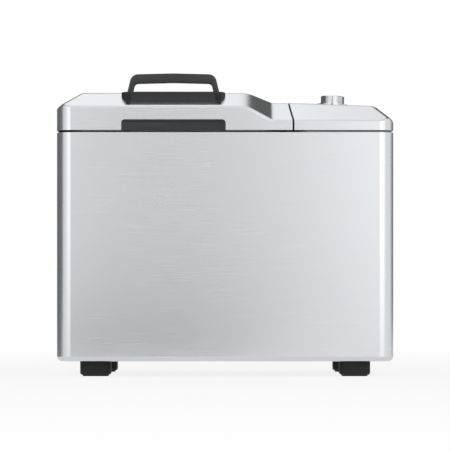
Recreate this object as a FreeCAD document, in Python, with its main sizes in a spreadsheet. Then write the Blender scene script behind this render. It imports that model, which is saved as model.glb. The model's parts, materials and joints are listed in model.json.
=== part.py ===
import FreeCAD, Part
import math
import os
import re

import Sketcher

# Bread machine with a hinged lid, a lift-out pan and a belt-driven paddle. Lengths are in mm.
# X points right, Y points to the rear, Z points up, and the origin is under the middle on the floor.

Vector = FreeCAD.Vector
os.makedirs("parts", exist_ok=True)
doc = FreeCAD.newDocument("bread_machine")
sheet = doc.addObject("Spreadsheet::Sheet", "Dims")

SIZES = {
    # Case and feet
    "case_width": 416.0,
    "case_depth": 245.0,
    "case_height": 282.0,
    "case_corner": 18.0,
    "case_wall": 1.0,
    "case_roll": 6.0,
    "case_flange": 14.0,
    "foot_height": 18.8,
    "foot_length": 38.0,
    "foot_depth": 34.0,
    "foot_across": 161.0,
    "foot_along": 85.0,
    "foot_pad": 1.5,
    "foot_corner": 7.0,
    "foot_round": 3.0,
    "foot_well": 5.0,
    "pad_inset": 3.2,
    "screw_radius": 2.0,
    "screw_hole": 2.1,
    "screw_head": 4.0,
    "screw_head_tall": 2.5,
    "tray_thick": 3.0,
    # Lid and control cover
    "rim_gap": 2.7,
    "lid_side": 29.5,
    "lid_rise": 18.4,
    "front_slope": 0.72,
    "left_run": 30.4,
    "left_drop": 20.4,
    "panel_side": 12.3,
    "panel_drop": 11.8,
    "crest_ramp_start": 28.0,
    "crest_ramp_end": 58.0,
    "crease_ramp_start": 26.0,
    "crease_ramp_end": 58.0,
    "ramp_head_round": 40.0,
    "ramp_foot_round": 12.0,
    "panel_tilt": 2.3,
    "right_run": 22.5,
    "right_side": 11.0,
    "left_round": 10.0,
    "right_round": 16.0,
    "crease_round": 5.0,
    "crest_round": 10.0,
    "skin": 2.4,
    "split_at": 84.0,
    "split_sag": 11.0,
    "split_gap": 2.2,
    "lid_back": 4.0,
    "lid_plate": 3.0,
    "lid_screw": 1.5,
    "lid_screw_hole": 1.6,
    "lid_screw_head": 3.2,
    "lid_screw_tall": 1.2,
    "lid_boss": 4.0,
    # Deck, hinge
    "deck_thick": 6.0,
    "deck_inset": 4.0,
    "hinge_back": 3.5,
    "hinge_up": 3.8,
    "knuckle_radius": 3.0,
    "knuckle_bore": 1.6,
    "knuckle_length": 12.0,
    "hinge_left": -150.0,
    "hinge_right": 18.0,
    # Handle on the lid
    "handle_at": -64.1,
    "tray_end": 5.05,
    "tray_set": 7.0,
    "tray_reach": 51.5,
    "tray_deep": 13.4,
    "tray_wall": 2.4,
    "tray_corner": 13.0,
    "bail_width": 118.4,
    "bail_leg": 7.4,
    "bail_bar": 11.5,
    "bail_thick": 8.6,
    "bail_top": 22.0,
    "bail_arch": 1.2,
    "bail_lean": 7.7,
    "bail_pivot_down": 5.0,
    "bail_pivot_in": 12.5,
    "bail_pin": 2.0,
    "grip_length": 128.4,
    "grip_height": 13.1,
    "grip_thick": 5.0,
    # Oven
    "oven_at": -63.0,
    "oven_width": 236.0,
    "oven_depth": 186.0,
    "oven_corner": 22.0,
    "oven_floor": 94.0,
    "oven_wall": 1.2,
    "oven_flange": 8.0,
    "heater_radius": 3.2,
    "heater_up": 9.0,
    "heater_inset": 13.0,
    "heater_bend": 30.0,
    "sensor_radius": 3.0,
    "socket_radius": 42.0,
    "socket_inner": 35.2,
    "socket_height": 13.0,
    # Lid inside
    "liner_in_across": 11.0,
    "liner_in_along": 3.0,
    "liner_height": 30.5,
    "liner_wall": 1.0,
    "liner_corner": 24.0,
    "liner_round": 8.0,
    "liner_flange": 22.0,
    "liner_lap": 12.0,
    "liner_screw_out": 7.0,
    "liner_screw_in": 30.0,
    "seal_width": 7.0,
    "seal_gap": 0.4,
    "window_length": 150.0,
    "window_depth": 84.0,
    "window_at": 17.0,
    "glass_thick": 3.0,
    "window_corner": 10.0,
    "frame_lap": 4.0,
    "frame_lip": 8.0,
    # Pan, paddle and drive
    "pan_width": 188.0,
    "pan_depth": 138.0,
    "pan_height": 148.0,
    "pan_corner": 24.0,
    "pan_wall": 1.5,
    "pan_up": 22.0,
    "pan_rim": 4.0,
    "pan_ring": 34.5,
    "wire_radius": 2.0,
    "wire_arm": 58.0,
    "wire_straight": 16.0,
    "wire_lean": 16.0,
    "shaft_radius": 5.0,
    "running_gap": 0.05,
    "hub_radius": 9.5,
    "blade_reach": 50.0,
    "dog_radius": 16.0,
    "dog_width": 12.0,
    "pulley_radius": 42.0,
    "pinion_radius": 9.0,
    "pulley_bottom": 38.0,
    "pulley_height": 12.0,
    "belt_thick": 2.0,
    "motor_at": 135.0,
    "motor_radius": 34.0,
    "motor_height": 72.0,
    "chassis_up": 56.0,
    # Controls
    "fascia_left": 10.0,
    "fascia_width": 84.0,
    "fascia_depth": 164.0,
    "fascia_thick": 2.0,
    "fascia_proud": 0.6,
    "dial_out": 50.7,
    "dial_front": 58.0,
    "dial_radius": 14.6,
    "dial_height": 11.5,
    "button_length": 15.0,
    "button_depth": 7.0,
    "button_travel": 1.2,
    "display_length": 62.0,
    "display_depth": 42.0,
    "display_back": 46.0,
    "board_down": 15.0,
    "inlet_at": 150.0,
    "inlet_up": 52.0,
}
for row, (alias, value) in enumerate(SIZES.items(), 1):
    sheet.set(f"A{row}", alias)
    sheet.set(f"B{row}", str(value))
    sheet.setAlias(f"B{row}", alias)
doc.recompute()

ALIAS = re.compile(r"\b(" + "|".join(SIZES) + r")\b")
TERMS = {
    "case_top": "(foot_height + case_height)",
    "lid_bottom": "(foot_height + case_height + rim_gap)",
    "lid_top": "(foot_height + case_height + rim_gap + lid_side + lid_rise)",
    "panel_top": "(foot_height + case_height + rim_gap + lid_side + lid_rise - panel_drop)",
    "hinge_y": "(case_depth / 2 - hinge_back)",
    "hinge_z": "(foot_height + case_height + hinge_up)",
    "floor_top": "(oven_floor + oven_wall)",
    "pan_bottom": "(oven_floor + oven_wall + pan_up)",
    "pan_top": "(oven_floor + oven_wall + pan_up + pan_height)",
    "tray_top": "(foot_height + case_wall + tray_thick)",
    "tray_length": "(bail_width + 2 * tray_end)",
    "liner_width": "(oven_width - 2 * liner_in_across)",
    "liner_depth": "(oven_depth - 2 * liner_in_along)",
}
TERM = re.compile(r"\b(" + "|".join(TERMS) + r")\b")


def dims(text):
    """Write out the shared terms, then point each size name at the sheet."""
    text = TERM.sub(lambda found: TERMS[found.group(1)], str(text))
    return ALIAS.sub(r"Dims.\1", text)


def size(text):
    """The number that an expression in sheet sizes comes to."""
    return float(sheet.evalExpression(dims(text)))


def block(name, x, y, z):
    """A box from its low and high side on each axis."""
    box = doc.addObject("Part::Box", name)
    for side, axis, (low, high) in (("Length", "x", x), ("Width", "y", y), ("Height", "z", z)):
        box.setExpression(side, dims(f"({high}) - ({low})"))
        box.setExpression(f"Placement.Base.{axis}", dims(low))
    return box


TURN = {
    "x": FreeCAD.Rotation(Vector(0, 1, 0), 90),
    "y": FreeCAD.Rotation(Vector(1, 0, 0), -90),
    "z": FreeCAD.Rotation(),
}


def rod(name, radius, start, length, along="z"):
    """A cylinder that starts at a point and runs along one axis."""
    cylinder = doc.addObject("Part::Cylinder", name)
    cylinder.Placement.Rotation = TURN[along]
    cylinder.setExpression("Radius", dims(radius))
    cylinder.setExpression("Height", dims(length))
    for axis, text in zip("xyz", start):
        cylinder.setExpression(f"Placement.Base.{axis}", dims(text))
    return cylinder


def sketch_in(body, plane, extent):
    """A sketch on one of the body's own planes, moved to where the pad starts."""
    support = next(item for item in body.Origin.OriginFeatures if item.Role == plane + "_Plane")
    sketch = body.newObject("Sketcher::SketchObject", body.Name + "_sketch")
    sketch.AttachmentSupport = [(support, "")]
    sketch.MapMode = "FlatFace"
    low, high = extent
    start = f"-({high})" if plane == "XZ" else low
    sketch.setExpression("AttachmentOffset.Base.z", dims(start))
    return sketch


def pad_of(body, sketch, extent):
    """Pad a sketch over an extent given by its low and high side."""
    pad = body.newObject("PartDesign::Pad", body.Name + "_pad")
    pad.Profile = sketch
    pad.setExpression("Length", dims(f"({extent[1]}) - ({extent[0]})"))
    return pad


def drive(sketch, kind, geometry, point, text):
    """Tie one coordinate of a sketch point to an expression."""
    index = sketch.addConstraint(Sketcher.Constraint(kind, -1, 1, geometry, point, size(text)))
    sketch.setExpression(f"Constraints[{index}]", dims(text))


def slab(name, plane, across, up, extent, corner):
    """A rounded rectangle drawn on a plane and padded over an extent."""
    body = doc.addObject("PartDesign::Body", name)
    sketch = sketch_in(body, plane, extent)
    left, right = size(across[0]), size(across[1])
    low, high = size(up[0]), size(up[1])
    radius = size(corner)
    ends = [
        ((left + radius, low), (right - radius, low)),
        ((right, low + radius), (right, high - radius)),
        ((right - radius, high), (left + radius, high)),
        ((left, high - radius), (left, low + radius)),
    ]
    middles = [
        (right - radius, low + radius),
        (right - radius, high - radius),
        (left + radius, high - radius),
        (left + radius, low + radius),
    ]
    for start, finish in ends:
        sketch.addGeometry(Part.LineSegment(Vector(*start, 0), Vector(*finish, 0)))
    for index, middle in enumerate(middles):
        circle = Part.Circle(Vector(*middle, 0), Vector(0, 0, 1), radius)
        first = math.radians(90 * index - 90)
        sketch.addGeometry(Part.ArcOfCircle(circle, first, first + math.pi / 2))
    for index in range(4):
        sketch.addConstraint(Sketcher.Constraint("Tangent", index, 2, 4 + index, 1))
        sketch.addConstraint(Sketcher.Constraint("Tangent", 4 + index, 2, (index + 1) % 4, 1))
        sketch.addConstraint(Sketcher.Constraint("Vertical" if index % 2 else "Horizontal", index))
    for index in range(5, 8):
        sketch.addConstraint(Sketcher.Constraint("Equal", 4, index))
    rounding = sketch.addConstraint(Sketcher.Constraint("Radius", 4, radius))
    sketch.setExpression(f"Constraints[{rounding}]", dims(corner))
    drive(sketch, "DistanceY", 0, 1, up[0])
    drive(sketch, "DistanceX", 1, 1, across[1])
    drive(sketch, "DistanceY", 2, 1, up[1])
    drive(sketch, "DistanceX", 3, 1, across[0])
    pad_of(body, sketch, extent)
    return body


def prism(name, plane, points, extent):
    """A polygon drawn on a plane and padded over an extent."""
    body = doc.addObject("PartDesign::Body", name)
    sketch = sketch_in(body, plane, extent)
    corners = [Vector(size(across), size(up), 0) for across, up in points]
    for start, finish in zip(corners, corners[1:] + corners[:1]):
        sketch.addGeometry(Part.LineSegment(start, finish))
    for index, (across, up) in enumerate(points):
        following = (index + 1) % len(points)
        sketch.addConstraint(Sketcher.Constraint("Coincident", index, 2, following, 1))
        drive(sketch, "DistanceX", index, 1, across)
        drive(sketch, "DistanceY", index, 1, up)
    pad_of(body, sketch, extent)
    return body


def fuse(name, *pieces):
    """One solid from pieces that meet."""
    result = doc.addObject("Part::MultiFuse", name)
    result.Shapes = list(pieces)
    return result


def group(name, *pieces):
    """Loose pieces that belong to one node."""
    result = doc.addObject("Part::Compound", name)
    result.Links = list(pieces)
    return result


def cut(name, base, *tools):
    """What is left of a piece after one or more tools are taken out of it."""
    result = doc.addObject("Part::Cut", name)
    result.Base = base
    result.Tool = tools[0] if len(tools) == 1 else fuse(name + "_tools", *tools)
    return result


def rounded(name, base, radius, wanted):
    """Round the edges of a piece that a test picks out."""
    doc.recompute()
    result = doc.addObject("Part::Fillet", name)
    result.Base = base
    bend = size(radius)
    picked = [number for number, edge in enumerate(base.Shape.Edges, 1) if wanted(edge)]
    result.Edges = [(number, bend, bend) for number in picked]
    return result


def at_height(*heights):
    """An edge test: the whole edge lies at one of these heights."""
    levels = [size(height) for height in heights]

    def test(edge):
        box = edge.BoundBox
        flat = box.ZMax - box.ZMin < 0.01
        return flat and any(abs(box.ZMin - level) < 0.01 for level in levels)

    return test


def upright(edge):
    """An edge test: the edge is a straight line along Z."""
    box = edge.BoundBox
    return box.ZLength > 0.5 and box.XLength < 0.01 and box.YLength < 0.01


def solid(name, shape):
    """A piece whose shape is worked out here from sheet sizes."""
    feature = doc.addObject("Part::Feature", name)
    feature.Shape = shape
    return feature


def bent_wire(points, bends):
    """An open wire through points, with a round bend at each inner point."""
    edges = []
    start = points[0]
    for before, corner, after, bend in zip(points, points[1:], points[2:], bends):
        if not bend:
            edges.append(Part.makeLine(start, corner))
            start = corner
            continue
        back = (before - corner).normalize()
        ahead = (after - corner).normalize()
        half = back.getAngle(ahead) / 2
        reach = bend / math.tan(half)
        middle = corner + (back + ahead).normalize() * (bend / math.sin(half) - bend)
        first, last = corner + back * reach, corner + ahead * reach
        edges.append(Part.makeLine(start, first))
        edges.append(Part.Arc(first, middle, last).toShape())
        start = last
    edges.append(Part.makeLine(start, points[-1]))
    return Part.Wire(edges)


def tube(points, bends, radius):
    """A round bar bent through points."""
    path = bent_wire(points, bends)
    heading = path.Edges[0].tangentAt(path.Edges[0].FirstParameter)
    ring = Part.Wire(Part.makeCircle(radius, points[0], heading))
    return path.makePipeShell([ring], True, False)


# Case: a folded steel wrap with a rolled bottom edge and an in-turned flange.
half_wide = ("-case_width / 2", "case_width / 2")
half_deep = ("-case_depth / 2", "case_depth / 2")


def inset(pair, by):
    """A low and high side moved in by an amount."""
    return (f"{pair[0]} + ({by})", f"{pair[1]} - ({by})")


case_outer = slab("case_outer", "XY", half_wide, half_deep, ("foot_height", "case_top"), "case_corner")
case_outer_soft = rounded("case_outer_soft", case_outer, "case_roll", at_height("foot_height"))
case_inner = slab(
    "case_inner",
    "XY",
    inset(half_wide, "case_wall"),
    inset(half_deep, "case_wall"),
    ("foot_height + case_wall", "case_top + 2"),
    "case_corner - case_wall",
)
case_inner_soft = rounded(
    "case_inner_soft", case_inner, "case_roll - case_wall", at_height("foot_height + case_wall")
)
case_opening = slab(
    "case_opening",
    "XY",
    inset(half_wide, "case_flange"),
    inset(half_deep, "case_flange"),
    ("foot_height - 2", "foot_height + case_wall + 2"),
    "case_corner / 2",
)
back_wall = ("case_depth / 2 - case_wall - 1", "case_depth / 2 + 1")
vents = []
for row in range(2):
    for column in range(9):
        left = f"inlet_at - 47 + {11 * column}"
        low = f"inlet_up + {78 + 62 * row}"
        vents.append(
            slab(
                f"vent_{row}_{column}",
                "XZ",
                (left, left + " + 4"),
                (low, low + " + 44"),
                back_wall,
                "1.9",
            )
        )
inlet_across = ("inlet_at - 14.2", "inlet_at + 14.2")
inlet_tall = ("inlet_up - 10.2", "inlet_up + 10.2")
inlet_hole = slab("inlet_hole", "XZ", inlet_across, inlet_tall, back_wall, "3")
case_wrap = cut("case_wrap", case_outer_soft, case_inner_soft, case_opening, inlet_hole, *vents)

# Mains inlet: a recessed socket clipped behind the rear wall. The cord is a separate thing.
inlet_face = "case_depth / 2 - 0.2"
inlet_depth = (inlet_face + " - 26", inlet_face)
inlet_body = slab(
    "inlet_body", "XZ", inset(inlet_across, "0.2"), inset(inlet_tall, "0.2"), inlet_depth, "2.8"
)
inlet_flange = slab(
    "inlet_flange",
    "XZ",
    inset(inlet_across, "-5"),
    inset(inlet_tall, "-4"),
    ("case_depth / 2 - case_wall - 2.5", "case_depth / 2 - case_wall"),
    "4",
)
inlet_well = slab(
    "inlet_well", "XZ", inset(inlet_across, "3"), inset(inlet_tall, "3"), (
        inlet_face + " - 18", inlet_face + " + 1"
    ), "2"
)
inlet_pins = []
for index, (aside, up) in enumerate((("-7", "-1.5"), ("7", "-1.5"), ("0", "2.5"))):
    middle_x, middle_z = f"inlet_at + {aside}", f"inlet_up + {up}"
    inlet_pins.append(
        block(
            f"inlet_pin_{index}",
            (middle_x + " - 1", middle_x + " + 1"),
            (inlet_face + " - 18.5", inlet_face + " - 5"),
            (middle_z + " - 2", middle_z + " + 2"),
        )
    )
inlet_shell = cut("inlet_shell", fuse("inlet_block", inlet_body, inlet_flange), inlet_well)
cord_inlet = fuse("cord_inlet", inlet_shell, *inlet_pins)

# Base tray, feet and the screws that hold them.
foot_places = [
    (across, along)
    for across in ("-foot_across", "foot_across")
    for along in ("-foot_along", "foot_along")
]
tray_plate = slab(
    "tray_plate",
    "XY",
    inset(half_wide, "case_wall + case_roll + 0.5"),
    inset(half_deep, "case_wall + case_roll + 0.5"),
    ("foot_height + case_wall", "tray_top"),
    "case_corner - case_roll",
)
screw_land = "foot_height * 0.6"
bosses, boss_holes, foot_blocks, pad_blocks, screws = [], [], [], [], []
for index, (across, along) in enumerate(foot_places):
    around = (f"{across} - foot_length / 2", f"{across} + foot_length / 2")
    along_sides = (f"{along} - foot_depth / 2", f"{along} + foot_depth / 2")
    bosses.append(rod(f"boss_{index}", "foot_well", (across, along, "tray_top - 1"), "11"))
    boss_holes.append(
        rod(f"boss_hole_{index}", "screw_hole", (across, along, "foot_height - 5"), "tray_thick + 24")
    )
    foot_tall = ("foot_pad", "foot_height + case_wall")
    foot = slab(f"foot_{index}", "XY", around, along_sides, foot_tall, "foot_corner")
    foot_soft = rounded(f"foot_soft_{index}", foot, "foot_round", at_height("foot_pad"))
    well = rod(f"foot_well_{index}", "foot_well", (across, along, "-1"), f"{screw_land} + 1")
    shank = rod(f"foot_shank_{index}", "screw_hole", (across, along, "0"), "foot_height + 5")
    foot_blocks.append(cut(f"foot_cut_{index}", foot_soft, well, shank))
    pad = slab(
        f"pad_{index}",
        "XY",
        inset(around, "pad_inset"),
        inset(along_sides, "pad_inset"),
        ("0", "foot_pad"),
        "foot_corner - foot_round / 2",
    )
    pad_well = rod(f"pad_well_{index}", "foot_well", (across, along, "-1"), "foot_pad + 2")
    pad_blocks.append(cut(f"pad_cut_{index}", pad, pad_well))
    head_low = f"{screw_land} - screw_head_tall"
    head = rod(f"screw_head_{index}", "screw_head", (across, along, head_low), "screw_head_tall")
    stem_low = f"{screw_land} - 1"
    stem_long = f"tray_top + 8 - {screw_land}"
    stem = rod(f"screw_stem_{index}", "screw_radius", (across, along, stem_low), stem_long)
    screws.append(fuse(f"screw_{index}", head, stem))
base_tray = cut("base_tray", fuse("tray_block", tray_plate, *bosses), *boss_holes)
feet = group("feet", *foot_blocks)
foot_pads = group("foot_pads", *pad_blocks)


# Lid and control cover: one pressed form, cut in two along a curved split.
def lowered(points, drop):
    """An open profile moved down square to each of its lines."""
    lines = []
    for start, finish in zip(points, points[1:]):
        along = (finish - start).normalize()
        lines.append((start + Vector(along.z, 0, -along.x) * drop, along))
    moved = [
        Vector(
            points[0].x, 0, lines[0][0].z + (points[0].x - lines[0][0].x) * lines[0][1].z / lines[0][1].x
        )
    ]
    for (first, ahead), (second, onward) in zip(lines, lines[1:]):
        gap = second - first
        turn = ahead.x * onward.z - ahead.z * onward.x
        reach = (gap.x * onward.z - gap.z * onward.x) / turn
        moved.append(first + ahead * reach)
    base, along = lines[-1]
    moved.append(base + along * ((points[-1].x - base.x) / along.x))
    return moved


def under(points, bends, bottom):
    """The face below an open profile, down to a level."""
    ends = [Vector(points[-1].x, 0, bottom), Vector(points[0].x, 0, bottom)]
    outline = bent_wire(points, bends).Edges
    outline.append(Part.makeLine(points[-1], ends[0]))
    outline.append(Part.makeLine(ends[0], ends[1]))
    outline.append(Part.makeLine(ends[1], points[0]))
    return Part.Face(Part.Wire(outline))


def plan(inset, bottom, top):
    """The rounded footprint of the lid and cover as a solid."""
    wide = size("case_width") - 2 * inset
    deep = size("case_depth") - 2 * inset
    shape = Part.makeBox(wide, deep, top - bottom, Vector(-wide / 2, -deep / 2, bottom))
    return shape.makeFillet(size("case_corner") - inset, [edge for edge in shape.Edges if upright(edge)])


def crest_edge(edge):
    """True for an edge where the top turns into the front or rear slope, and for the hips."""
    middle = edge.valueAt((edge.FirstParameter + edge.LastParameter) / 2)
    if abs(middle.y) > size("case_depth / 2") - 0.1 or middle.z < size("lid_bottom") + 1:
        return False
    return edge.BoundBox.YLength < size("case_depth") / 2 and abs(middle.y) > 1


def top_form(inset):
    """The outer form of lid and cover, or the same form moved in by a wall."""
    half = size("case_width / 2")
    reach = 40.0
    slope = size("front_slope")
    left_pitch = size("left_drop / left_run")
    panel_end = half - size("right_run")
    panel_low = size("panel_top") - (panel_end - size("split_at")) * math.tan(
        math.radians(size("panel_tilt"))
    )
    right_pitch = (panel_low - size("lid_bottom + right_side")) / size("right_run")
    crest = [
        Vector(-half - reach, 0, size("lid_top - left_drop") - reach * left_pitch),
        Vector(-half + size("left_run"), 0, size("lid_top")),
        Vector(size("crest_ramp_start"), 0, size("lid_top")),
        Vector(size("crest_ramp_end"), 0, size("panel_top")),
        Vector(size("split_at"), 0, size("panel_top")),
        Vector(panel_end, 0, panel_low),
        Vector(half + reach, 0, panel_low - right_pitch * (size("right_run") + reach)),
    ]
    crease = [
        Vector(-half - reach, 0, size("lid_bottom + lid_side")),
        Vector(size("crease_ramp_start"), 0, size("lid_bottom + lid_side")),
        Vector(size("crease_ramp_end"), 0, size("lid_bottom + panel_side")),
        Vector(half + reach, 0, size("lid_bottom + panel_side")),
    ]
    ramp_bends = [size("ramp_head_round"), size("ramp_foot_round")]
    crest_bends = [size("left_round"), *ramp_bends, 60, size("right_round")]
    bottom = size("lid_bottom") - (10 if inset else 0)
    if inset:
        crest = lowered(crest, inset)
        crease = lowered(crease, inset * math.hypot(1, slope))
    deep = size("case_depth")
    face = under(crest, crest_bends, bottom - 60)
    face.translate(Vector(0, -deep, 0))
    shape = face.extrude(Vector(0, 2 * deep, 0))
    face = under(crease, ramp_bends, bottom - deep)
    face.translate(Vector(0, -deep / 2, 0))
    front = face.extrude(Vector(0, deep, deep * slope))
    shape = shape.common(front).common(front.mirror(Vector(), Vector(0, 1, 0)))
    if not inset:
        shape = shape.makeFillet(size("crest_round"), [edge for edge in shape.Edges if crest_edge(edge)])
    return shape.common(plan(inset, bottom, size("lid_top + lid_side")))


def on_rim(point):
    """True for a point on the outside of the footprint."""
    corner = size("case_corner")
    aside = abs(point.x) - size("case_width / 2")
    along = abs(point.y) - size("case_depth / 2")
    if aside > -corner and along > -corner:
        return abs(math.hypot(aside + corner, along + corner) - corner) < 0.01
    return max(aside, along) > -0.01


def crease_edge(edge):
    """True for an edge where the side wall turns into a slope."""
    if upright(edge) or edge.BoundBox.ZMin < size("lid_bottom") + 0.1:
        return False
    ends = [edge.FirstParameter, edge.LastParameter]
    return all(on_rim(edge.valueAt(at)) for at in ends + [sum(ends) / 2])


split_radius = (size("case_depth / 2") ** 2 + size("split_sag") ** 2) / (2 * size("split_sag"))


def split_drum(grow):
    """A wide drum whose side is the split between lid and cover, moved by an amount."""
    middle = size("split_at - split_sag") + split_radius
    return Part.makeCylinder(split_radius + grow, 200, Vector(middle, 0, size("lid_bottom") - 60))


def lid_part(form, inset_by):
    """The lid's side of a form, moved in from the split and from the rear."""
    rear = size("case_depth / 2 - lid_back") - inset_by
    behind = Part.makeBox(1000, 200, 200, Vector(-500, rear, size("lid_bottom") - 60))
    return form.cut(split_drum(size("split_gap / 2") + inset_by)).cut(behind)


def cover_part(form, inset_by):
    """The control cover's side of a form, moved in from the split."""
    return form.common(split_drum(-size("split_gap / 2") - inset_by))


def layer(low, high):
    """A wide flat box between two heights."""
    low, high = size(low), size(high)
    return Part.makeBox(1000, 1000, high - low, Vector(-500, -500, low))


skin = size("skin")
form = top_form(0)
form = form.makeFillet(size("crease_round"), [edge for edge in form.Edges if crease_edge(edge)])
hollow = top_form(skin)
lid_skin = solid("lid_skin", lid_part(form, 0).cut(lid_part(hollow, skin)))
cover_skin = solid("cover_skin", cover_part(form, 0).cut(cover_part(hollow, skin)))

# Lid: bosses, tray for the handle, grip strip, window and hinge notches.
screw_across = [f"oven_at {side} (liner_width / 2 + liner_screw_out)" for side in "-+"]
screw_along = [f"{side}(liner_depth / 2 - liner_screw_in)" for side in ("-", "")]
lid_screw_places = [(across, along) for across in screw_across for along in screw_along]
boss_room = lid_part(top_form(skin / 3), skin / 3)
lid_bosses, lid_boss_holes, lid_screw_list = [], [], []
for index, (across, along) in enumerate(lid_screw_places):
    foot = Vector(size(across), size(along), size("lid_bottom + 1 + lid_plate"))
    pillar = Part.makeCylinder(size("lid_boss"), size("lid_side + lid_rise"), foot)
    lid_bosses.append(solid(f"lid_boss_{index}", pillar.common(boss_room)))
    lid_boss_holes.append(
        rod(f"lid_boss_hole_{index}", "lid_screw_hole", (across, along, "lid_bottom - 1"), "lid_plate + 14")
    )
    head_low = "lid_bottom - lid_screw_tall"
    head = rod(f"lid_screw_head_{index}", "lid_screw_head", (across, along, head_low), "lid_screw_tall")
    stem = rod(f"lid_screw_stem_{index}", "lid_screw", (across, along, "lid_bottom - 0.5"), "lid_plate + 10")
    lid_screw_list.append(fuse(f"lid_screw_{index}", head, stem))
lid_screws = group("lid_screws", *lid_screw_list)

tray_across = ("handle_at - tray_length / 2", "handle_at + tray_length / 2")
tray_along = ("tray_set - case_depth / 2", "tray_set + tray_reach - case_depth / 2")
tray_tall = ("lid_top - tray_deep", "lid_top")
tray_outer = slab("tray_outer", "XY", tray_across, tray_along, tray_tall, "tray_corner")
tray_soft = rounded("tray_soft", tray_outer, "tray_wall * 0.6", at_height("lid_top"))
tray_inner = slab(
    "tray_inner",
    "XY",
    inset(tray_across, "tray_wall"),
    inset(tray_along, "tray_wall"),
    ("lid_top - tray_deep + tray_wall", "lid_top + 2"),
    "tray_corner - tray_wall",
)
pivot_z = "lid_top - bail_pivot_down"
pivot_y = "(tray_set + bail_pivot_in - case_depth / 2)"
ear_left, ear_right = "handle_at - bail_width / 2 - 0.6", "handle_at + bail_width / 2 + 0.6"
ear_length = "(tray_length - bail_width) / 2 - 0.6 - tray_wall / 2"
ear_a = rod("ear_a", "4.6", (f"{ear_left} - ({ear_length})", pivot_y, pivot_z), ear_length, "x")
ear_b = rod("ear_b", "4.6", (ear_right, pivot_y, pivot_z), ear_length, "x")
pin_length = f"{ear_length} + bail_leg - 1"
pin_a = rod(
    "pin_a", "bail_pin", (f"{ear_left} - ({ear_length}) + 0.5", pivot_y, pivot_z), pin_length, "x"
)
pin_b = rod(
    "pin_b",
    "bail_pin",
    (f"{ear_right} + ({ear_length}) - 0.5 - ({pin_length})", pivot_y, pivot_z),
    pin_length,
    "x",
)
tray_shell = fuse("tray_shell", cut("tray_hollow", tray_soft, tray_inner), ear_a, ear_b)
handle_tray = cut("handle_tray", tray_shell, pin_a, pin_b)
handle_pins = group("handle_pins", pin_a, pin_b)

# Handle bail: a leaning U that stands up at rest and folds back into the tray.
leg_low = f"{pivot_z} - bail_thick / 2"
bail_high = "lid_top + bail_top"
bail_points = [
    ("handle_at - bail_width / 2", leg_low),
    ("handle_at - bail_width / 2 + bail_lean", bail_high),
    ("handle_at", f"{bail_high} + bail_arch"),
    ("handle_at + bail_width / 2 - bail_lean", bail_high),
    ("handle_at + bail_width / 2", leg_low),
    ("handle_at + bail_width / 2 - bail_leg", leg_low),
    ("handle_at + bail_width / 2 - bail_leg - bail_lean * 0.6", f"{bail_high} - bail_bar"),
    ("handle_at", f"{bail_high} - bail_bar + bail_arch"),
    ("handle_at - bail_width / 2 + bail_leg + bail_lean * 0.6", f"{bail_high} - bail_bar"),
    ("handle_at - bail_width / 2 + bail_leg", leg_low),
]
bail_sides = (f"{pivot_y} - bail_thick / 2", f"{pivot_y} + bail_thick / 2")
bail_plain = prism("bail_plain", "XZ", bail_points, bail_sides)


def across_depth(high, low):
    """An edge test: a straight edge along Y between two heights."""
    top, bottom = size(high), size(low)

    def test(edge):
        box = edge.BoundBox
        along = box.YLength > 1 and box.XLength < 0.01 and box.ZLength < 0.01
        return along and bottom < box.ZMin < top

    return test


bail_corners = rounded(
    "bail_corners", bail_plain, "bail_bar * 0.9", across_depth(f"{bail_high} + 1", f"{bail_high} - 1")
)
bail_inside = rounded(
    "bail_inside", bail_corners, "bail_bar * 0.45", across_depth(
        f"{bail_high} - bail_bar + 1", f"{bail_high} - bail_bar - 1"
    )
)


def leg_foot(edge):
    """An edge test: the two long lower edges of a leg's foot, along X."""
    box = edge.BoundBox
    return box.XLength > 1 and box.YLength < 0.01 and abs(box.ZMax - size(leg_low)) < 0.01


bail_feet = rounded("bail_feet", bail_inside, "bail_thick / 2 - 0.05", leg_foot)
bail_bores = [
    rod(f"bail_bore_{index}", "bail_pin + running_gap", (start, pivot_y, pivot_z), "bail_leg + 4", "x")
    for index, start in enumerate((f"{ear_left} - 1", f"{ear_right} - bail_leg - 3"))
]
handle_bail = cut("handle_bail", bail_feet, *bail_bores)

# Grip strip set into the lid's lower front wall, a little proud of it.
grip_across = ("oven_at - 0.6 - grip_length / 2", "oven_at - 0.6 + grip_length / 2")
grip_tall = ("lid_bottom", "lid_bottom + grip_height")
grip_along = ("-case_depth / 2 - 0.4", "-case_depth / 2 + grip_thick")
grip_plain = prism(
    "grip_plain",
    "XZ",
    [
        (grip_across[0], grip_tall[0]),
        (grip_across[1], grip_tall[0]),
        (grip_across[1], grip_tall[1]),
        (grip_across[0], grip_tall[1]),
    ],
    grip_along,
)
lid_grip = rounded(
    "lid_grip", grip_plain, "grip_height * 0.32", across_depth(
        "lid_bottom + grip_height + 1", "lid_bottom + grip_height - 1"
    )
)

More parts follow.
